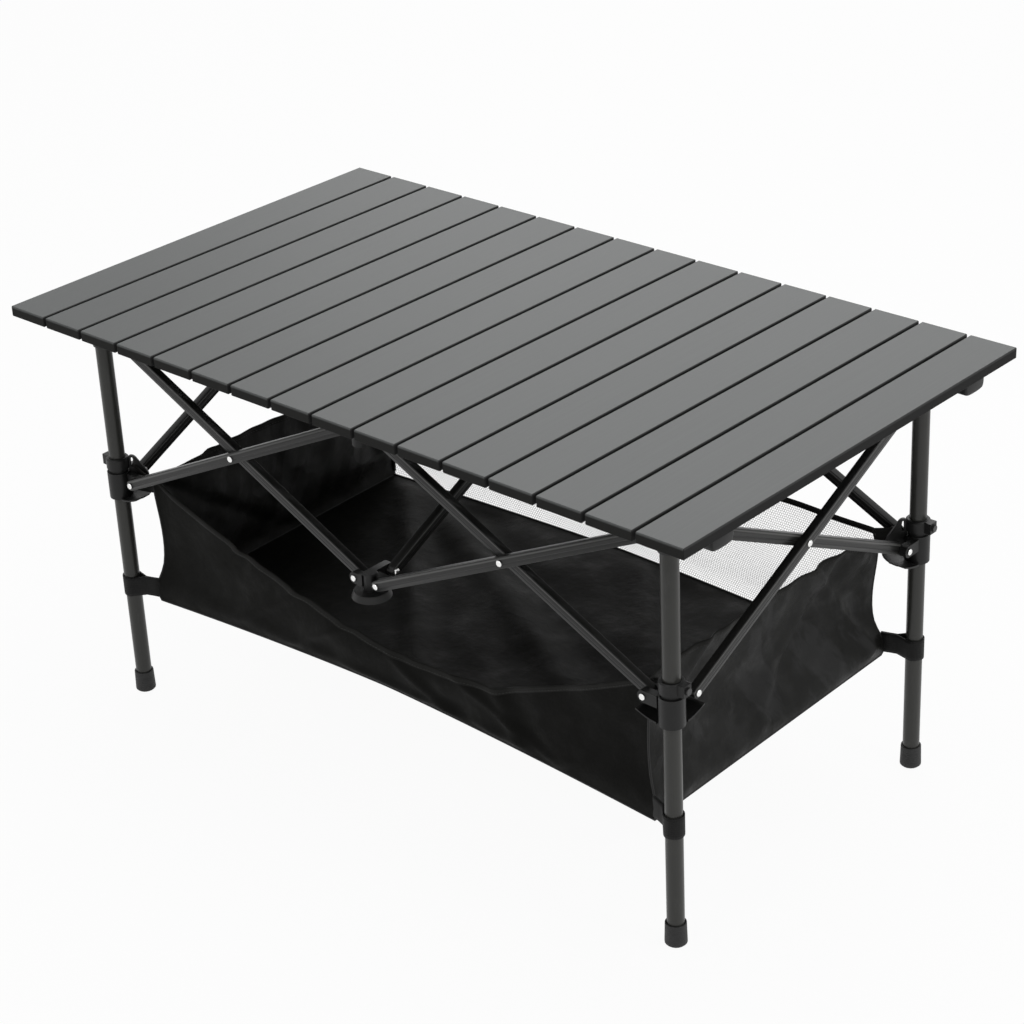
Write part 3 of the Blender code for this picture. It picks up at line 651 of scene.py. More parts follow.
def soften_tree():
    tree = bpy.data.node_groups.new("soften", "GeometryNodeTree")
    face = tree.interface
    face.new_socket("Geometry", in_out="OUTPUT", socket_type="NodeSocketGeometry")
    face.new_socket("Geometry", in_out="INPUT", socket_type="NodeSocketGeometry")
    limit = face.new_socket("Smooth Below", in_out="INPUT", socket_type="NodeSocketFloat")
    limit.default_value = SMOOTH_BELOW
    board = Board(tree)
    given = [Wire(board, socket) for socket in board.node("NodeGroupInput").socket.node.outputs]
    joined = board.node("GeometryNodeMergeByDistance", None, {
        "Geometry": given[0], "Distance": JOIN_WITHIN})
    angle = board.node("GeometryNodeInputMeshEdgeAngle")
    sharp = board.math("GREATER_THAN", angle, given[1])
    shaded = board.node("GeometryNodeSetMeshNormal", {"mode": "SHARPNESS"}, {
        "Mesh": joined, "Remove Custom": True, "Edge Sharpness": sharp})
    board.node("NodeGroupOutput", None, {0: shaded})
    return tree

# %% Soften every hard part
SOFTEN = soften_tree()
EDGES = {  # radius of the moulded or pressed edges; 0 is smooth shading alone
    "leg_": 0.0, "foot_": 0.0004, "top_hub_": 0.0004, "slider_hub_": 0.00035, "upper_hub_": 0.0004,
    "lower_hub_": 0.0004, "lock_button_": 0.0003, "bar_": 0.0, "rail_": 0.0003,
}
for name, part in nodes.items():
    width = next((w for prefix, w in EDGES.items() if name.startswith(prefix)), None)
    if width is None:
        continue
    modifier = part.modifiers.new("soften", "NODES")
    modifier.node_group = SOFTEN
    if width:
        bevel = part.modifiers.new("edge radius", "BEVEL")
        bevel.width, bevel.segments, bevel.limit_method = width, 2, "ANGLE"
        bevel.angle_limit = math.radians(45)
        bevel.use_clamp_overlap = True
print("softened parts:", sum(1 for part in nodes.values() if part.modifiers))

# %% [markdown]
# ## Rivets
# A rivet's formed head is a low dome. The seed mesh has one point for each head, with its outward
# direction stored beside it, and the tree sets a flattened sphere on every point, half sunk in
# the hub.

# %% Rivet heads
DOME = {"Radius": 0.0038, "Rise": 0.0018, "Rings": 8}


def dome_tree():
    board, given = repeat_tree("rivet domes", DOME)
    ball = board.node("GeometryNodeMeshUVSphere", None, {
        "Segments": 18, "Rings": given["Rings"], "Radius": 1.0})
    squat = board.node("GeometryNodeTransform", None, {
        "Geometry": ball, "Scale": board.join(given["Radius"], given["Radius"], given["Rise"])})
    facing = board.node(
        "GeometryNodeInputNamedAttribute", {"data_type": "FLOAT_VECTOR"}, {"Name": "facing"})
    turn = board.node("FunctionNodeAlignRotationToVector", {"axis": "Z"}, {"Vector": facing})
    placed = board.node("GeometryNodeInstanceOnPoints", None, {
        "Points": given["Geometry"], "Instance": squat, "Rotation": turn})
    return close_tree(board, given, placed)


def point_cloud(name, places, directions):
    mesh = bpy.data.meshes.new(name)
    mesh.from_pydata([tuple(p) for p in places], [], [])
    store = mesh.attributes.new("facing", "FLOAT_VECTOR", "POINT")
    for item, direction in zip(store.data, directions):
        item.vector = tuple(direction)
    return mesh

# %% Set the heads
HUB_FACE, BAR_FACE = 0.01005, 0.00915  # from the middle of a pair of bars to where heads sit
heads = {}
for pair, (left, right) in PAIRS.items():
    direction = (POSTS[right] - POSTS[left]).normalized()
    outward = direction.cross(UP)
    for post, way in ((left, direction), (right, -direction)):
        for level, height in (("upper", UPPER_Z), ("lower", LOWER_Z)):
            corner_body = "leg_" if level == "upper" else "slider_"
            body = (f"{level}_hub_" if post.endswith("middle") else corner_body) + post
            centre = pivot(post, way, height)
            heads.setdefault(body, []).extend(
                (centre + outward * HUB_FACE * s, outward * s) for s in (1, -1))
    crossing = (pivot(left, direction, UPPER_Z) + pivot(right, -direction, LOWER_Z)) / 2
    heads.setdefault(f"bar_{pair}_falling", []).extend(
        [(crossing + outward * HUB_FACE, outward), (crossing - outward * BAR_FACE, -outward)])

DOMES = dome_tree()
for body, spots in heads.items():
    seed = point_cloud("rivet_spots", [p for p, _ in spots], [d for _, d in spots])
    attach(grow("rivets_" + body, seed, DOMES, RIVET, **DOME), body)

# %% [markdown]
# ## Small mouldings
# Each slider has a thin upright web in the inner corner, with a slot that the bag's corner hangs
# from, and each rail ends in a rounded plug. Both are flat mouldings, so a filled 2D curve is the
# shortest way: it takes holes, a thickness and a rounded edge. Cutting the corners of its outline
# twice rounds that too.

# %% Slider webs and rail plugs
def rounded(loop):
    """Cuts every corner of a closed outline, twice."""
    for _ in range(2):
        loop = [tuple(np.array(p) * (1 - f) + np.array(q) * f)
                for p, q in zip(loop, loop[1:] + loop[:1]) for f in (0.25, 0.75)]
    return loop


def moulding(name, outline, holes, half, edge, place, material):
    """A filled outline with holes, thickened by half to both sides, its edges rounded."""
    curve = bpy.data.curves.new(name, "CURVE")
    curve.dimensions, curve.fill_mode = "2D", "BOTH"
    curve.extrude, curve.offset = half - edge, -edge
    curve.bevel_depth, curve.bevel_resolution = edge, 2
    for loop in [outline] + holes:
        spline = curve.splines.new("POLY")
        spline.points.add(len(loop) - 1)
        for point, (a, b) in zip(spline.points, loop):
            point.co = (a, b, 0, 1)
        spline.use_cyclic_u = True
    shape = bpy.data.objects.new(name, curve)
    bpy.context.scene.collection.objects.link(shape)
    bpy.context.view_layer.update()
    settled = shape.evaluated_get(bpy.context.evaluated_depsgraph_get())
    mesh = bpy.data.meshes.new_from_object(settled)
    bpy.data.objects.remove(shape)
    solid = bmesh.new()
    solid.from_mesh(mesh)
    bmesh.ops.remove_doubles(solid, verts=solid.verts, dist=0.00001)
    bmesh.ops.recalc_face_normals(solid, faces=solid.faces)
    solid.to_mesh(mesh)
    solid.free()
    mesh.transform(place)
    mesh.polygons.foreach_set("use_smooth", [True] * len(mesh.polygons))
    mesh.set_sharp_from_angle(angle=math.radians(40))
    return keep(name, mesh, material)


def upright(ray, across, origin):
    """Matrix that lays a drawing's X along ray and its Y upwards."""
    return Matrix.Translation(origin) @ Matrix((ray, UP, across)).transposed().to_4x4()

# %% The webs and the plugs
def signs(post):
    """Which way a post lies from the middle: -1 or 1 along X, and the same along Y."""
    return math.copysign(1, POSTS[post].x), math.copysign(1, POSTS[post].y)


WEB = [(0.0118, 0.0085), (0.0122, 0.0255), (0.0160, 0.0268), (0.0200, 0.0252), (0.0240, 0.0185),
       (0.0300, 0.0095), (0.0345, 0.0030), (0.0330, -0.0045), (0.0240, -0.0060), (0.0118, -0.0050)]
SLOT = [(0.0150, 0.0120), (0.0150, 0.0240), (0.0176, 0.0240), (0.0176, 0.0120)]
PLUG = [(-0.0168, 0.0168), (0.0168, 0.0168), (0.0168, 0.0040), (0.0120, 0.0), (-0.0120, 0.0),
        (-0.0168, 0.0040)]
WEB_HALF, WEB_EDGE, PLUG_HALF, PLUG_EDGE = 0.0022, 0.0006, 0.0078, 0.0022
PLUG_X, PLUG_Z = 0.4605, 0.4710
CORNERS = ("near_left", "near_right", "far_left", "far_right")
for post in CORNERS:
    side, row = signs(post)
    ray = Vector((-side, -row, 0)).normalized()
    place = upright(ray, ray.cross(UP), POSTS[post] + UP * LOWER_Z)
    web = moulding(
        f"slider_web_{post}", rounded(WEB), [rounded(SLOT)], WEB_HALF, WEB_EDGE, place, HUB_PLASTIC)
    place = upright(
        Vector((0, 1, 0)), Vector((1, 0, 0)), Vector((side * PLUG_X, POSTS[post].y, PLUG_Z)))
    plug = moulding(
        f"rail_plug_{post}", rounded(PLUG), [], PLUG_HALF, PLUG_EDGE, place, HUB_PLASTIC)
    for piece, body in ((web, f"slider_{post}"), (plug, "top")):
        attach(piece, body)
print("webs and plugs:", 2 * len(CORNERS))

# %% [markdown]
# ## Cords between the slats
# An elastic cord runs through the slats near both ends of every gap, and shows as a short bridge
# across it. When the top rolls up, the real cord bends with the hinge. Each bridge is a short tube
# with many rings, so it can bend smoothly, and each gap gets one piece with its two bridges.

# %% Slat cords
CORD_RADIUS, CORD_Y, CORD_Z, CORD_REACH, CORD_DIP = 0.0015, 0.215, 0.4948, 0.0052, 0.0004


def steps(count, start=0.0, end=1.0):
    """Even values from start to end."""
    return [start + (end - start) * i / count for i in range(count + 1)]


def turns(count):
    """Even angles once round a circle."""
    return [2 * math.pi * k / count for k in range(count)]


def tube_faces(rings, sides):
    """Faces of a closed tube whose points come ring by ring."""
    faces = []
    for i in range(rings - 1):
        for k in range(sides):
            a, b = i * sides + k, i * sides + (k + 1) % sides
            faces.append((a, b, b + sides, a + sides))
    faces.append(tuple(reversed(range(sides))))
    faces.append(tuple((rings - 1) * sides + k for k in range(sides)))
    return faces


def cord_bridge(x, y):
    """Rings of a short tube along X, a little lower in its middle."""
    rings, sides = 9, 10
    verts = [(x + t * CORD_REACH, y + CORD_RADIUS * math.cos(a),
              CORD_Z - CORD_DIP * (1 - t * t) + CORD_RADIUS * math.sin(a))
             for t in steps(rings - 1, -1, 1) for a in turns(sides)]
    return verts, tube_faces(rings, sides)


def make_mesh(name, parts):
    """One mesh from several lists of points and faces, facing outwards and smooth."""
    verts, faces = [], []
    for some_verts, some_faces in parts:
        base = len(verts)
        verts.extend(some_verts)
        faces.extend(tuple(base + i for i in face) for face in some_faces)
    mesh = bpy.data.meshes.new(name)
    mesh.from_pydata([tuple(v) for v in verts], [], faces)
    mesh.polygons.foreach_set("use_smooth", [True] * len(mesh.polygons))
    mesh.update()
    return mesh

# %% A pair of bridges for each gap
for gap in range(1, SLAT_COUNT):
    x = BEFORE_FIRST_SLAT + gap * SLAT_PITCH
    bridges = make_mesh("slat_cord", [cord_bridge(x, CORD_Y), cord_bridge(x, -CORD_Y)])
    piece = keep(f"slat_cord_{gap:02d}", bridges, CORD_YARN)
    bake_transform(piece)
print("slat cords:", 2 * (SLAT_COUNT - 1))

# %% [markdown]
# ## The shape of the bag
# The storage bag hangs from the sliders by its four upper corners and is pulled outwards by four
# straps near its floor. It is one loft: at every height it has a length and a width, its rims are
# curves, and soft folds are added as a sideways shift that fades out at the seams. Walls, floor
# and net all read the same few functions, so they meet exactly without being joined. The creases
# were placed one by one, so each is a row of numbers in a short list.

# %% Functions of the bag's surface
NEAR_SAG, SAG_SHIFT, SAG_CURVE = 0.097, 0.06, 1.6
HUB_DIP, HUB_DIP_WIDTH = 0.032, 0.055


def bump_at(x, middle, width):
    """1 at the middle, falling off smoothly over the width."""
    return math.exp(-((x - middle) / width) ** 2)


def near_rim(x):
    """The near wall's upper edge, a slack curve that is lowest a little right of the middle."""
    x = max(-BAG_X, min(BAG_X, x))
    shifted = (x - SAG_SHIFT) / (BAG_X + math.copysign(SAG_SHIFT, SAG_SHIFT - x))
    slack = 0.006 * bump_at(x, 0.165, 0.032) - 0.004 * bump_at(x, 0.075, 0.045)
    return BAG_RIM - NEAR_SAG * (1 - abs(shifted) ** SAG_CURVE) - slack


def far_rim(x):
    """The net's upper edge, pressed down by the middle hub."""
    return BAG_RIM - HUB_DIP * bump_at(x, 0, HUB_DIP_WIDTH)


def end_rim(side, t):
    """Upper edge of an end wall; t runs from -1 at the near corner to 1 at the far one."""
    if side < 0:
        return BAG_RIM - 0.006 * bump_at(t, -1, 0.35)
    return BAG_RIM + 0.004 * (1 - t * t) - 0.018 * bump_at(t, 1, 0.22)


def far_top(s):
    """The net's upper edge over s from -1 to 1; at its two ends it meets the end walls."""
    return far_rim(s * BAG_X) if abs(s) < 0.999 else end_rim(s, 1)


def floor_height(s, t):
    """Floor over the plan, s and t from -1 to 1: lower at both ends and at the near corners."""
    slack = 0.004 * (1 - s * s) * (1 - t * t)
    return BAG_FLOOR - 0.012 * abs(s) ** 1.3 - 0.007 * s * s * (0.5 - 0.5 * t) - slack


def pull(v):
    """How far the corners stand out at a height v from 0 at the floor to 1 at the rim."""
    strap = 0.009 * bump_at(v, 0.10, 0.14)
    return strap - 0.005 * math.sin(math.pi * min(1, max(0, v))) ** 2


def ripple(a, b, seed, size):
    """Smooth unevenness of cloth, from -1 to 1."""
    return noise.noise(Vector((a / size, b / size, seed)))


def fade(value, width):
    """0 at an edge and 1 from the given distance inwards."""
    f = max(0.0, min(1.0, value / width))
    return f * f * (3 - 2 * f)

# %% Creases
def crease(distance, width):
    """Cross-section of one soft crease: a narrow ridge with a shallow valley beside it."""
    return bump_at(distance, 0, width) - 0.55 * bump_at(distance / width, 1.9, 1.3)


# Creases of the near wall: place, lean, height and width, then the half that they fade out from,
# over what share of it, and how strong they are.
NEAR_CREASES = (
    (-0.325, 1.15, 0.150, 0.012, -1, 0.35, 0.9), (-0.235, 1.55, 0.150, 0.014, -1, 0.25, 0.8),
    (-0.150, 1.80, 0.150, 0.013, -1, 0.15, 0.7), (0.020, -2.10, 0.185, 0.013, 1, 0.05, 0.6),
    (0.110, -2.60, 0.195, 0.012, 1, 0.15, 0.6), (0.290, 0.90, 0.190, 0.010, 1, 0.50, 0.8),
    (0.175, -0.55, 0.180, 0.013, 1, 0.20, 1.0))
# Creases of the end walls: place, lean, height, width and strength.
END_CREASES = (
    (0.135, -0.8, 0.215, 0.010, 1.0), (0.030, 1.0, 0.200, 0.013, 0.8),
    (-0.085, -1.4, 0.205, 0.011, 0.9), (-0.150, 0.7, 0.225, 0.009, 0.7))
# Folds of the floor: height, a point on them, their direction, their width, and the middle, the
# reach and the softness of their ends along X.
FLOOR_FOLDS = (
    (0.0085, -0.22, 0.138, 0.49, 0.87, 0.021, -0.04, 0.30, 0.16),
    (0.0055, -0.33, 0.180, 0.71, 0.71, 0.016, -0.22, 0.26, 0.10),
    (0.0045, 0.16, 0.050, 0.75, 0.66, 0.020, 0.20, 0.24, 0.12))
SEAM_STEP, FAR_INSET = 0.0006, 0.0012  # keep the net's edge off the floor and the corner seams


def leaning(a, z, place, lean, height, width):
    return crease((a - place) - lean * (z - height), width)

# %% Walls and floor
def near_wall(s, v):
    """Point of the near wall, s from -1 to 1 along it and v from 0 at the floor to 1 at the rim."""
    x = s * (BAG_X + pull(v))
    low, high = floor_height(s, -1), near_rim(s * BAG_X)
    z = low + (high - low) * v
    hold = fade(1 - abs(s), 0.10) * fade(v, 0.16)
    lines = sum(leaning(x, z, *line) * fade(half * s, share) * strength
                for *line, half, share, strength in NEAR_CREASES)
    soft = 0.6 * ripple(x, z, 3.1, 0.075) + 0.35 * ripple(x, z, 7.7, 0.032)
    belly = 0.010 * math.sin(math.pi * min(1, v * 0.9)) * (1 - s * s)
    out = hold * (0.0036 * lines + 0.0048 * soft + belly)
    return Vector((x, -(BAG_Y + 0.5 * pull(v)) - out, z))


def end_wall(side, t, v):
    """Point of an end wall, t from -1 to 1 along it and v from 0 at the floor to 1 at the rim."""
    low, high = floor_height(side, t), end_rim(side, t)
    z = low + (high - low) * v
    y = t * (BAG_Y + 0.5 * pull(v))
    hold = fade(1 - abs(t), 0.14) * fade(v, 0.16)
    lines = sum(leaning(y, z, *line) * strength for *line, strength in END_CREASES)
    soft = 0.8 * ripple(y, z, 11.3 + side, 0.058) + 0.5 * ripple(y, z, 5.2, 0.024)
    hollow = 0.007 * math.sin(math.pi * v) * (1 - t * t)
    out = hold * (0.0042 * lines + 0.0070 * soft - hollow)
    return Vector((side * (BAG_X + pull(v) + out), y, z))


def far_wall(s, v):
    """Point of the far wall, like near_wall but nearly flat."""
    low, high = floor_height(s, 1) + SEAM_STEP, far_top(s)
    z = low + (high - low) * v
    hold = fade(1 - abs(s), 0.10) * fade(v, 0.2)
    out = hold * 0.0035 * ripple(s * BAG_X, z, 9.4, 0.07)
    return Vector((s * (BAG_X + pull(v)), BAG_Y + 0.5 * pull(v) - FAR_INSET + out, z))


def bag_base(s, t):
    """Point of the floor over the plan, s and t from -1 to 1."""
    corner = near_wall(s, 0) * (0.5 - 0.5 * t) + far_wall(s, 0) * (0.5 + 0.5 * t)
    x, y = corner.x, corner.y
    dent = 0.0040 * ripple(x, y, 2.2, 0.11) + 0.0012 * ripple(x, y, 6.1, 0.045)
    for rise, fold_x, fold_y, over_x, over_y, width, middle, reach, end in FLOOR_FOLDS:
        fold = crease((x - fold_x) * over_x + (y - fold_y) * over_y, width)
        dent += rise * fold * fade(reach - abs(x - middle), end)
    dent *= fade(1 - abs(s), 0.12) * fade(1 - abs(t), 0.14)
    return Vector((x, y, floor_height(s, t) + dent))


print("bag corner at the straps:", [round(c, 4) for c in near_wall(-1, 0.1)])

# %% [markdown]
# ## Sheets of cloth
# A sheet is a grid of points on the bag's surface, with a UV map that keeps the flat cloth's
# metres, so that the weave is the same size everywhere. Solidify gives it a cloth's thickness,
# and edges marked sharp keep its rims from bending the light on its faces. The long walls are cut
# in the middle, where the folding frame needs it: each half rides on its leg.

# %% Helper for a sheet
def sheet_mesh(name, surface, width, cells, rise=2):
    """Grid over surface(a, b), a and b from 0 to 1. The UV map is in metres: along the cloth's
    width, and the height of the point, or its place along another axis."""
    nx, ny = cells
    mesh = bpy.data.meshes.new(name)
    points = [surface(i / nx, j / ny) for j in range(ny + 1) for i in range(nx + 1)]
    row = nx + 1
    faces = [(j * row + i, j * row + i + 1, (j + 1) * row + i + 1, (j + 1) * row + i)
             for j in range(ny) for i in range(nx)]
    mesh.from_pydata([tuple(p) for p in points], [], faces)
    uvs = mesh.uv_layers.new(name="cloth")
    for loop in mesh.loops:
        column = loop.vertex_index % row
        uvs.data[loop.index].uv = (width * column / nx, points[loop.vertex_index][rise])
    mesh.polygons.foreach_set("use_smooth", [True] * len(mesh.polygons))
    mesh.update()
    used = np.zeros(len(mesh.edges), int)
    for loop in mesh.loops:
        used[loop.edge_index] += 1
    for edge, count in zip(mesh.edges, used):
        edge.use_edge_sharp = count == 1
    return mesh


def thicken(piece, thickness):
    """Gives a sheet its thickness, half of it to each side."""
    solid = piece.modifiers.new("cloth thickness", "SOLIDIFY")
    solid.thickness, solid.offset = thickness, 0.0
    return piece


def sheet_piece(name, surface, width, cells, material, thickness=0.0009, rise=2):
    return thicken(keep(name, sheet_mesh(name, surface, width, cells, rise), material), thickness)

# %% Walls, ends and floors as sheets
LEG_BODY = {-1: "left", 1: "right"}
WALL_CELLS, END_CELLS, FLOOR_CELLS = (58, 22), (62, 24), (96, 28)
made = {}
for side, word in LEG_BODY.items():
    made["near", side] = sheet_piece(
        f"bag_near_wall_{word}", lambda a, b: near_wall(side * a, b), BAG_X, WALL_CELLS, WALL_CLOTH)
    made["end", side] = sheet_piece(
        f"bag_end_wall_{word}", lambda a, b: end_wall(side, side * (2 * a - 1), b), 2 * BAG_Y,
        END_CELLS, END_CLOTH)
for row, word in ((-1, "near"), (1, "far")):
    made["floor", row] = sheet_piece(
        f"bag_floor_{word}", lambda a, b: bag_base(2 * a - 1, row * b), 2 * BAG_X, FLOOR_CELLS,
        WALL_CLOTH, rise=1)
print("sheets:", sorted(piece.name for piece in made.values()))

# %% [markdown]
# ## The net
# The far wall is knitted net with six-sided holes. Dual Mesh turns every point of a sheet of even
# triangles into a six-sided face, so the tree takes such a sheet, turns its dual's edges into
# curves and runs a thin yarn along them. Holes of 3 mm are the real size, and few sides keep it
# light.

# %% Net halves
YARN = {"Yarn Radius": 0.00021, "Yarn Sides": 3}
NET_HOLE, ROW_SHARE = 0.0030, 0.866  # rows of even triangles lie closer than their points


def net_tree():
    board, given = repeat_tree("knitted net", YARN)
    holes = board.node("GeometryNodeDualMesh", None, {0: given["Geometry"]})
    lines = board.node("GeometryNodeMeshToCurve", None, {0: holes})
    ring = board.node("GeometryNodeCurvePrimitiveCircle", None, {
        "Resolution": given["Yarn Sides"], "Radius": given["Yarn Radius"]})
    yarn = board.node("GeometryNodeCurveToMesh", None, {0: lines, 1: ring})
    return close_tree(board, given, yarn)


def triangle_sheet(name, surface, width, height, pitch):
    """Rows of even triangles over surface(a, b): every second row is shifted by half a pitch."""
    rows, across = round(height / (pitch * ROW_SHARE)), round(width / pitch)
    verts, faces = [], []
    for j in range(rows + 1):
        for i in range(across + 1):
            a = min(1.0, max(0.0, (i + (0.5 if j % 2 else 0.0) - 0.25) / across))
            verts.append(tuple(surface(a, j / rows)))
    row = across + 1
    for j in range(rows):
        for i in range(across):
            a, b, c, d = (line * row + i + step for line in (j, j + 1) for step in (0, 1))
            faces += [(a, b, c), (b, d, c)] if j % 2 == 0 else [(a, b, d), (a, d, c)]
    mesh = bpy.data.meshes.new(name)
    mesh.from_pydata(verts, [], faces)
    return mesh


NET = net_tree()
for side, word in LEG_BODY.items():
    seed = triangle_sheet(
        "net_seed", lambda a, b: far_wall(side * a, b), BAG_X, BAG_RIM - BAG_FLOOR, NET_HOLE)
    net = made["net", side] = grow(f"bag_net_{word}", seed, NET, NET_YARN, **YARN)
    print(net.name, "triangles:", sum(len(face.vertices) - 2 for face in net.data.polygons))

# %% [markdown]
# ## Hems
# A cut edge frays, so every rim is folded over and sewn. The hem is a band that goes up the
# outside, over the rim and down the inside, a little thicker than the wall. It could be part of
# the wall's mesh, but as a piece of its own it can have a finer grid and its own cloth, painted
# lighter than the wall's as a highlight where the folded rim catches the light.

# %% Hems along the rims
HEM_HEIGHT, HEM_BULGE, HEM_LIFT = 0.0065, 0.0011, 0.0007
HEM_CELLS, HEM_THICK = (70, 14), 0.0004


def hem_point(wall, along, low, high, normal, c):
    """Point of a hem at c from 0, low on the outside, to 1, low on the inside; 0.5 is the rim."""
    drop = HEM_HEIGHT * abs(1 - 2 * c)
    point = wall(along, (high - drop - low) / (high - low))
    side = max(-1.0, min(1.0, (0.5 - c) * 9))
    puff = HEM_BULGE * (1 + 0.25 * math.sin(math.pi * min(1, drop / HEM_HEIGHT)))
    return point + normal * side * puff + UP * HEM_LIFT


def near_hem(s, c):
    rim = near_rim(s * BAG_X)
    return hem_point(near_wall, s, floor_height(s, -1), rim, Vector((0, -1, 0)), c)


def far_hem(s, c):
    return hem_point(far_wall, s, floor_height(s, 1), far_top(s), Vector((0, 1, 0)), c)


def end_hem(side, t, c):
    return hem_point(lambda a, v: end_wall(side, a, v), t, floor_height(side, t),
                     end_rim(side, t), Vector((side, 0, 0)), c)


for side, word in LEG_BODY.items():
    for key, band, width in (
            ("near", lambda a, c: near_hem(side * a, c), BAG_X),
            ("far", lambda a, c: far_hem(side * a, c), BAG_X),
            ("end", lambda a, c: end_hem(side, 2 * a - 1, c), 2 * BAG_Y)):
        made[key + "_hem", side] = sheet_piece(
            f"bag_{key}_hem_{word}", band, width, HEM_CELLS, HEM_CLOTH, HEM_THICK)
print("hems:", 3 * len(LEG_BODY))

# %% [markdown]
# ## Seams
# Where two panels meet, their edges are sewn together and show as a thin raised cord. A tube
# swept along a list of points gives it. The ring at each point is turned square to the path,
# which keeps the tube round at the corners.

# %% Rolled seams
SEAM_RADIUS = 0.0012


def tube(points, radius, sides=8):
    """Points and faces of a closed tube along a path."""
    verts = []
    across = Vector((0.31, 0.52, 0.79))
    for i, point in enumerate(points):
        ahead = (points[min(i + 1, len(points) - 1)] - points[max(i - 1, 0)]).normalized()
        across = (across - ahead * across.dot(ahead)).normalized()
        other = ahead.cross(across)
        verts += [point + across * radius * math.cos(a) + other * radius * math.sin(a)
                  for a in turns(sides)]
    return verts, tube_faces(len(points), sides)


for side, word in LEG_BODY.items():
    paths = {
        "near": [near_wall(side * a, 0) for a in steps(40)]
        + [near_wall(side, v) for v in steps(14, 0.03)],
        "end": [end_wall(side, t, 0) for t in steps(40, -1, 1)]
        + [end_wall(side, 1, v) for v in steps(14, 0.03)],
        "far": [far_wall(side * a, 0) for a in steps(40)],
    }
    for key, path in paths.items():
        mesh = make_mesh("seam", [tube(path, SEAM_RADIUS)])
        made[key + "_seam", side] = keep(f"bag_{key}_seam_{word}", mesh, SEAM_CORD)
print("seams:", 3 * len(LEG_BODY))

# %% [markdown]
# ## Stitches
# A row of stitches is one short thread over and over at an even spacing. The tree resamples a
# path at that spacing and sets a small capsule on each point, turned along the path.

# %% Stitch rows
THREAD = {"Spacing": 0.0042, "Length": 0.0028, "Thickness": 0.0006}
STITCH_LINE, STITCH_LIFT = 0.14, 0.0003  # share of the way over the hem, metres out of it


def stitch_tree():
    board, given = repeat_tree("stitch row", THREAD)
    path = board.node("GeometryNodeMeshToCurve", None, {0: given["Geometry"]})
    even = board.node("GeometryNodeResampleCurve", {"mode": "LENGTH"}, {
        "Curve": path, "Length": given["Spacing"]})
    way = board.node("GeometryNodeInputTangent")
    turn = board.node("FunctionNodeAlignRotationToVector", {"axis": "Z"}, {"Vector": way})
    ball = board.node("GeometryNodeMeshUVSphere", None, {"Segments": 6, "Rings": 4, "Radius": 0.5})
    stretched = board.node("GeometryNodeTransform", None, {
        "Geometry": ball,
        "Scale": board.join(given["Thickness"], given["Thickness"], given["Length"])})
    placed = board.node("GeometryNodeInstanceOnPoints", None, {
        "Points": even, "Instance": stretched, "Rotation": turn})
    return close_tree(board, given, placed)


def path_mesh(name, paths):
    verts, edges = [], []
    for path in paths:
        edges += [(len(verts) + i, len(verts) + i + 1) for i in range(len(path) - 1)]
        verts += [tuple(p) for p in path]
    mesh = bpy.data.meshes.new(name)
    mesh.from_pydata(verts, edges, [])
    return mesh


def hem_rows(band, outward, places):
    """Two paths along a hem, one on each face of the wall."""
    return [[band(place, c) + outward * lift for place in places]
            for c, lift in ((STITCH_LINE, STITCH_LIFT), (1 - STITCH_LINE, -STITCH_LIFT))]


STITCHES = stitch_tree()
for side, word in LEG_BODY.items():
    half = [side * a for a in steps(60, 0.01, 0.985)]
    whole = steps(60, -0.98, 0.98)
    for key, paths in (
            ("near", hem_rows(near_hem, Vector((0, -1, 0)), half)),
            ("far", hem_rows(far_hem, Vector((0, 1, 0)), half)),
            ("end", hem_rows(lambda t, c: end_hem(side, t, c), Vector((side, 0, 0)), whole))):
        made[key + "_stitches", side] = grow(
            f"bag_{key}_stitches_{word}", path_mesh("stitch_path", paths), STITCHES, STITCH,
            **THREAD)
print("stitch rows:", 6 * len(LEG_BODY))

# %% [markdown]
# ## Straps
# A strap goes from each lower corner of the bag round the leg and back, sewn flat where its two
# plies meet. Webbing is stiff across its width, so it is a flat ribbon along a plan path:
# straight to the leg, round it, and back. At each upper corner a short doubled tab reaches the
# sliding hub, and an ear of cloth is drawn up to the slot in its web. Straps, tabs and ears ride
# on their legs; when the real frame folds, the straps slide down to the feet.

# %% Straps to the legs and hangers to the sliders
STRAP_HEIGHT, STRAP_THICK, STRAP_LOW = 0.0240, 0.0013, {"near": 0.1315, "far": 0.1390}
STRAP_MEETS, STRAP_PLY, STRAP_END, STRAP_TURN = 0.0185, 0.00075, 0.0035, LEG_RADIUS + 0.0011
TAB_LOW, TAB_HEIGHT, TAB_THICK, TAB_START, TAB_END = 0.2688, 0.0066, 0.0020, 0.0142, 0.004


def towards_bag(post, height_share):
    """Direction in plan from a leg to the bag's corner beside it, and the distance."""
    side, row = signs(post)
    way = end_wall(side, row, height_share) - POSTS[post]
    way.z = 0
    return way.normalized(), way.length


def strap_plan(post):
    """Plan path: from the bag's corner to the leg, round it and back again."""
    centre = POSTS[post]
    way, length = towards_bag(post, 0.12)
    across = Vector((-way.y, way.x, 0))
    start = math.acos(STRAP_TURN / STRAP_MEETS)
    arc = [centre + (way * math.cos(a) + across * math.sin(a)) * STRAP_TURN
           for a in steps(22, start, 2 * math.pi - start)]
    plies = [(length + STRAP_END, 1), ((length + STRAP_MEETS) / 2, 1), (STRAP_MEETS, 1.5)]
    out = [centre + way * reach + across * (STRAP_PLY * share) for reach, share in plies]
    back = [centre + way * reach - across * (STRAP_PLY * share) for reach, share in plies[::-1]]
    return out + arc + back


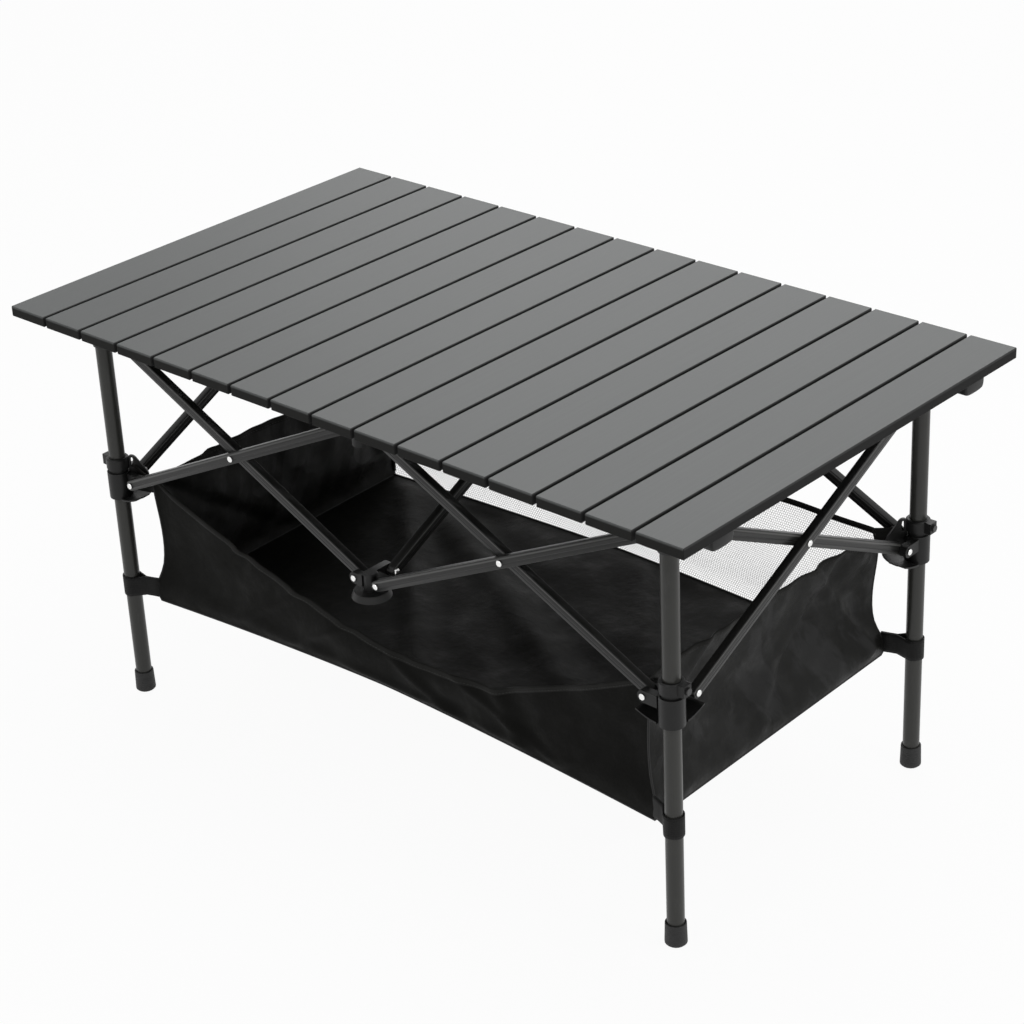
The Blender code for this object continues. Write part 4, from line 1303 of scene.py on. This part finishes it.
def ribbon_piece(name, plan, low, height, thick):
    """A flat band of webbing standing on edge along a plan path."""
    travel = [0.0]
    for p, q in zip(plan, plan[1:]):
        travel.append(travel[-1] + (q - p).length)
    rows, n = 7, len(plan)
    verts = []
    for j in range(rows):
        for i, p in enumerate(plan):
            waver = 0.0003 * math.sin(i * 0.8 + j * 0.5)
            verts.append(p + UP * (low + height * j / (rows - 1) + waver))
    faces = [(j * n + i, j * n + i + 1, (j + 1) * n + i + 1, (j + 1) * n + i)
             for j in range(rows - 1) for i in range(n - 1)]
    mesh = make_mesh(name, [(verts, faces)])
    uvs = mesh.uv_layers.new(name="cloth")
    for loop in mesh.loops:
        j, i = divmod(loop.vertex_index, n)
        uvs.data[loop.index].uv = (travel[i], height * j / (rows - 1))
    return thicken(keep(name, mesh, WEBBING), thick)

# %% Tabs and ears at the upper corners
def hanger_tab(post):
    """A doubled tab from the bag's upper corner to the sleeve of the slider."""
    way, length = towards_bag(post, 1.0)
    plan = [POSTS[post] + way * reach for reach in steps(8, TAB_START, length + TAB_END)]
    return ribbon_piece(f"bag_hanger_{post}", plan, TAB_LOW, TAB_HEIGHT, TAB_THICK)


def corner_ear(post):
    """Cloth drawn up from the bag's two rims at a corner to the slot in the slider's web."""
    side, row = signs(post)
    long_wall = far_wall if row > 0 else near_wall
    ray = Vector((-side, -row, 0)).normalized()
    tip = POSTS[post] + ray * 0.0163 + UP * (LOWER_Z + 0.0150)
    split, below_rim = 0.6, 0.965  # share of the ear on the long wall, height where it starts

    def surface(a, b):
        if a < split:
            low = long_wall(side * (0.93 + 0.07 * a / split), below_rim)
        else:
            low = end_wall(side, row * (1 - 0.06 * (a - split) / (1 - split)), below_rim)
        high = tip + UP * (0.004 * (0.5 - a)) + ray * 0.0016 * (0.5 - a)
        sway = 0.0012 * math.sin(math.pi * b) * math.sin(5 * a)
        return low.lerp(high, b) - UP * (0.006 * b * (1 - b)) + ray * sway

    return sheet_piece(f"bag_ear_{post}", surface, 0.045, (20, 12), HEM_CLOTH, 0.0012)

# %% Hang straps, tabs and ears on the legs
for post in CORNERS:
    low = STRAP_LOW[post.split("_")[0]]
    strap = made["strap", post] = ribbon_piece(
        f"bag_strap_{post}", strap_plan(post), low, STRAP_HEIGHT, STRAP_THICK)
    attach(strap, f"leg_{post}")
    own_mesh(strap)
for post in CORNERS:
    made["hanger", post] = hanger_tab(post)
    made["ear", post] = corner_ear(post)
    for key in ("hanger", "ear"):
        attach(made[key, post], f"leg_{post}")
print("straps, hangers and ears:", 3 * len(CORNERS))

# %% [markdown]
# ## Tying the cloth to the folding frame
# When the frame folds, the legs come together and the real cloth crumples between them. Each half
# wall, with its hem, seam and stitches, rides on its leg, and an end wall rides on its near leg.
# The floor is cut along the table's length, and each half rides on the upper middle hub of its
# side.

# %% Bodies that carry the cloth
WALL_KEEP, END_KEEP, FLOOR_KEEP = 0.09, 0.144, 0.09
ALONG, ACROSS = (1, 0, 0), (0, 1, 0)


def trimmings(edge, side):
    """The hem, the seam and the stitches of one edge."""
    return [made[edge + part, side] for part in ("_hem", "_seam", "_stitches")]


for side, word in LEG_BODY.items():
    post = (side * BAG_X, 0, 0)
    for key, edge, row, axis, anchor, share in (
            ("near", "near", "near", ALONG, post, WALL_KEEP),
            ("net", "far", "far", ALONG, post, WALL_KEEP),
            ("end", "end", "near", ACROSS, (0, -BAG_Y, 0), END_KEEP)):
        for piece in [made[key, side]] + trimmings(edge, side):
            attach(piece, f"leg_{row}_{word}")
            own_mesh(piece)
            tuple(axis)
            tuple(anchor)
for row, word in ((-1, "near"), (1, "far")):
    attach(made["floor", row], f"upper_hub_{word}_middle")
    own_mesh(made["floor", row])

# %% [markdown]
# ## What the cloth was cut to
# Cloth doesn't stretch much, so a hung sheet keeps the area it was cut to. For each half wall, end
# wall and half net, the area inside its curved rim is worked out and printed. Each sheet is
# declared with the flat rectangle that it comes from and, where its rim is a curve, the area
# inside that curve, with a little more for its folds.

FOLDS, HEM_ALLOWANCE = 1.02, 0.025


def cut_area(span, width):
    """Area between two curves over the flat width; span gives both heights."""
    spans = [span(a) for a in steps(60)]
    return sum(high - low for low, high in spans) / len(spans) * width


for side, word in LEG_BODY.items():
    for key, edge, width, seam, rows, span in (
            ("near", "near", BAG_X, 0.009, ["near"],
             lambda a: (floor_height(side * a, -1), near_rim(side * a * BAG_X))),
            ("end", "end", 2 * BAG_Y, 0.010, ["near", "far"],
             lambda a: (floor_height(side, 2 * a - 1), end_rim(side, 2 * a - 1))),
            ("net", "far", BAG_X, 0.009, ["far"],
             lambda a: (floor_height(side * a, 1), far_rim(side * a * BAG_X)))):
        area = cut_area(span, width)
        width + seam
        area * FOLDS
        trimmings(edge, side)
        print(made[key, side].name, "area", round(area, 4))
for row, word in ((-1, "near"), (1, "far")):
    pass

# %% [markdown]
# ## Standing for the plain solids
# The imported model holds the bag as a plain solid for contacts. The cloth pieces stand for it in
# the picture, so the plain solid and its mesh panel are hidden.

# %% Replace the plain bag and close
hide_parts("storage_bag")
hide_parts("bag_mesh_panel")
for (key, _), piece in made.items():
    "mesh_cloth" if key == "net" else "bag_cloth"
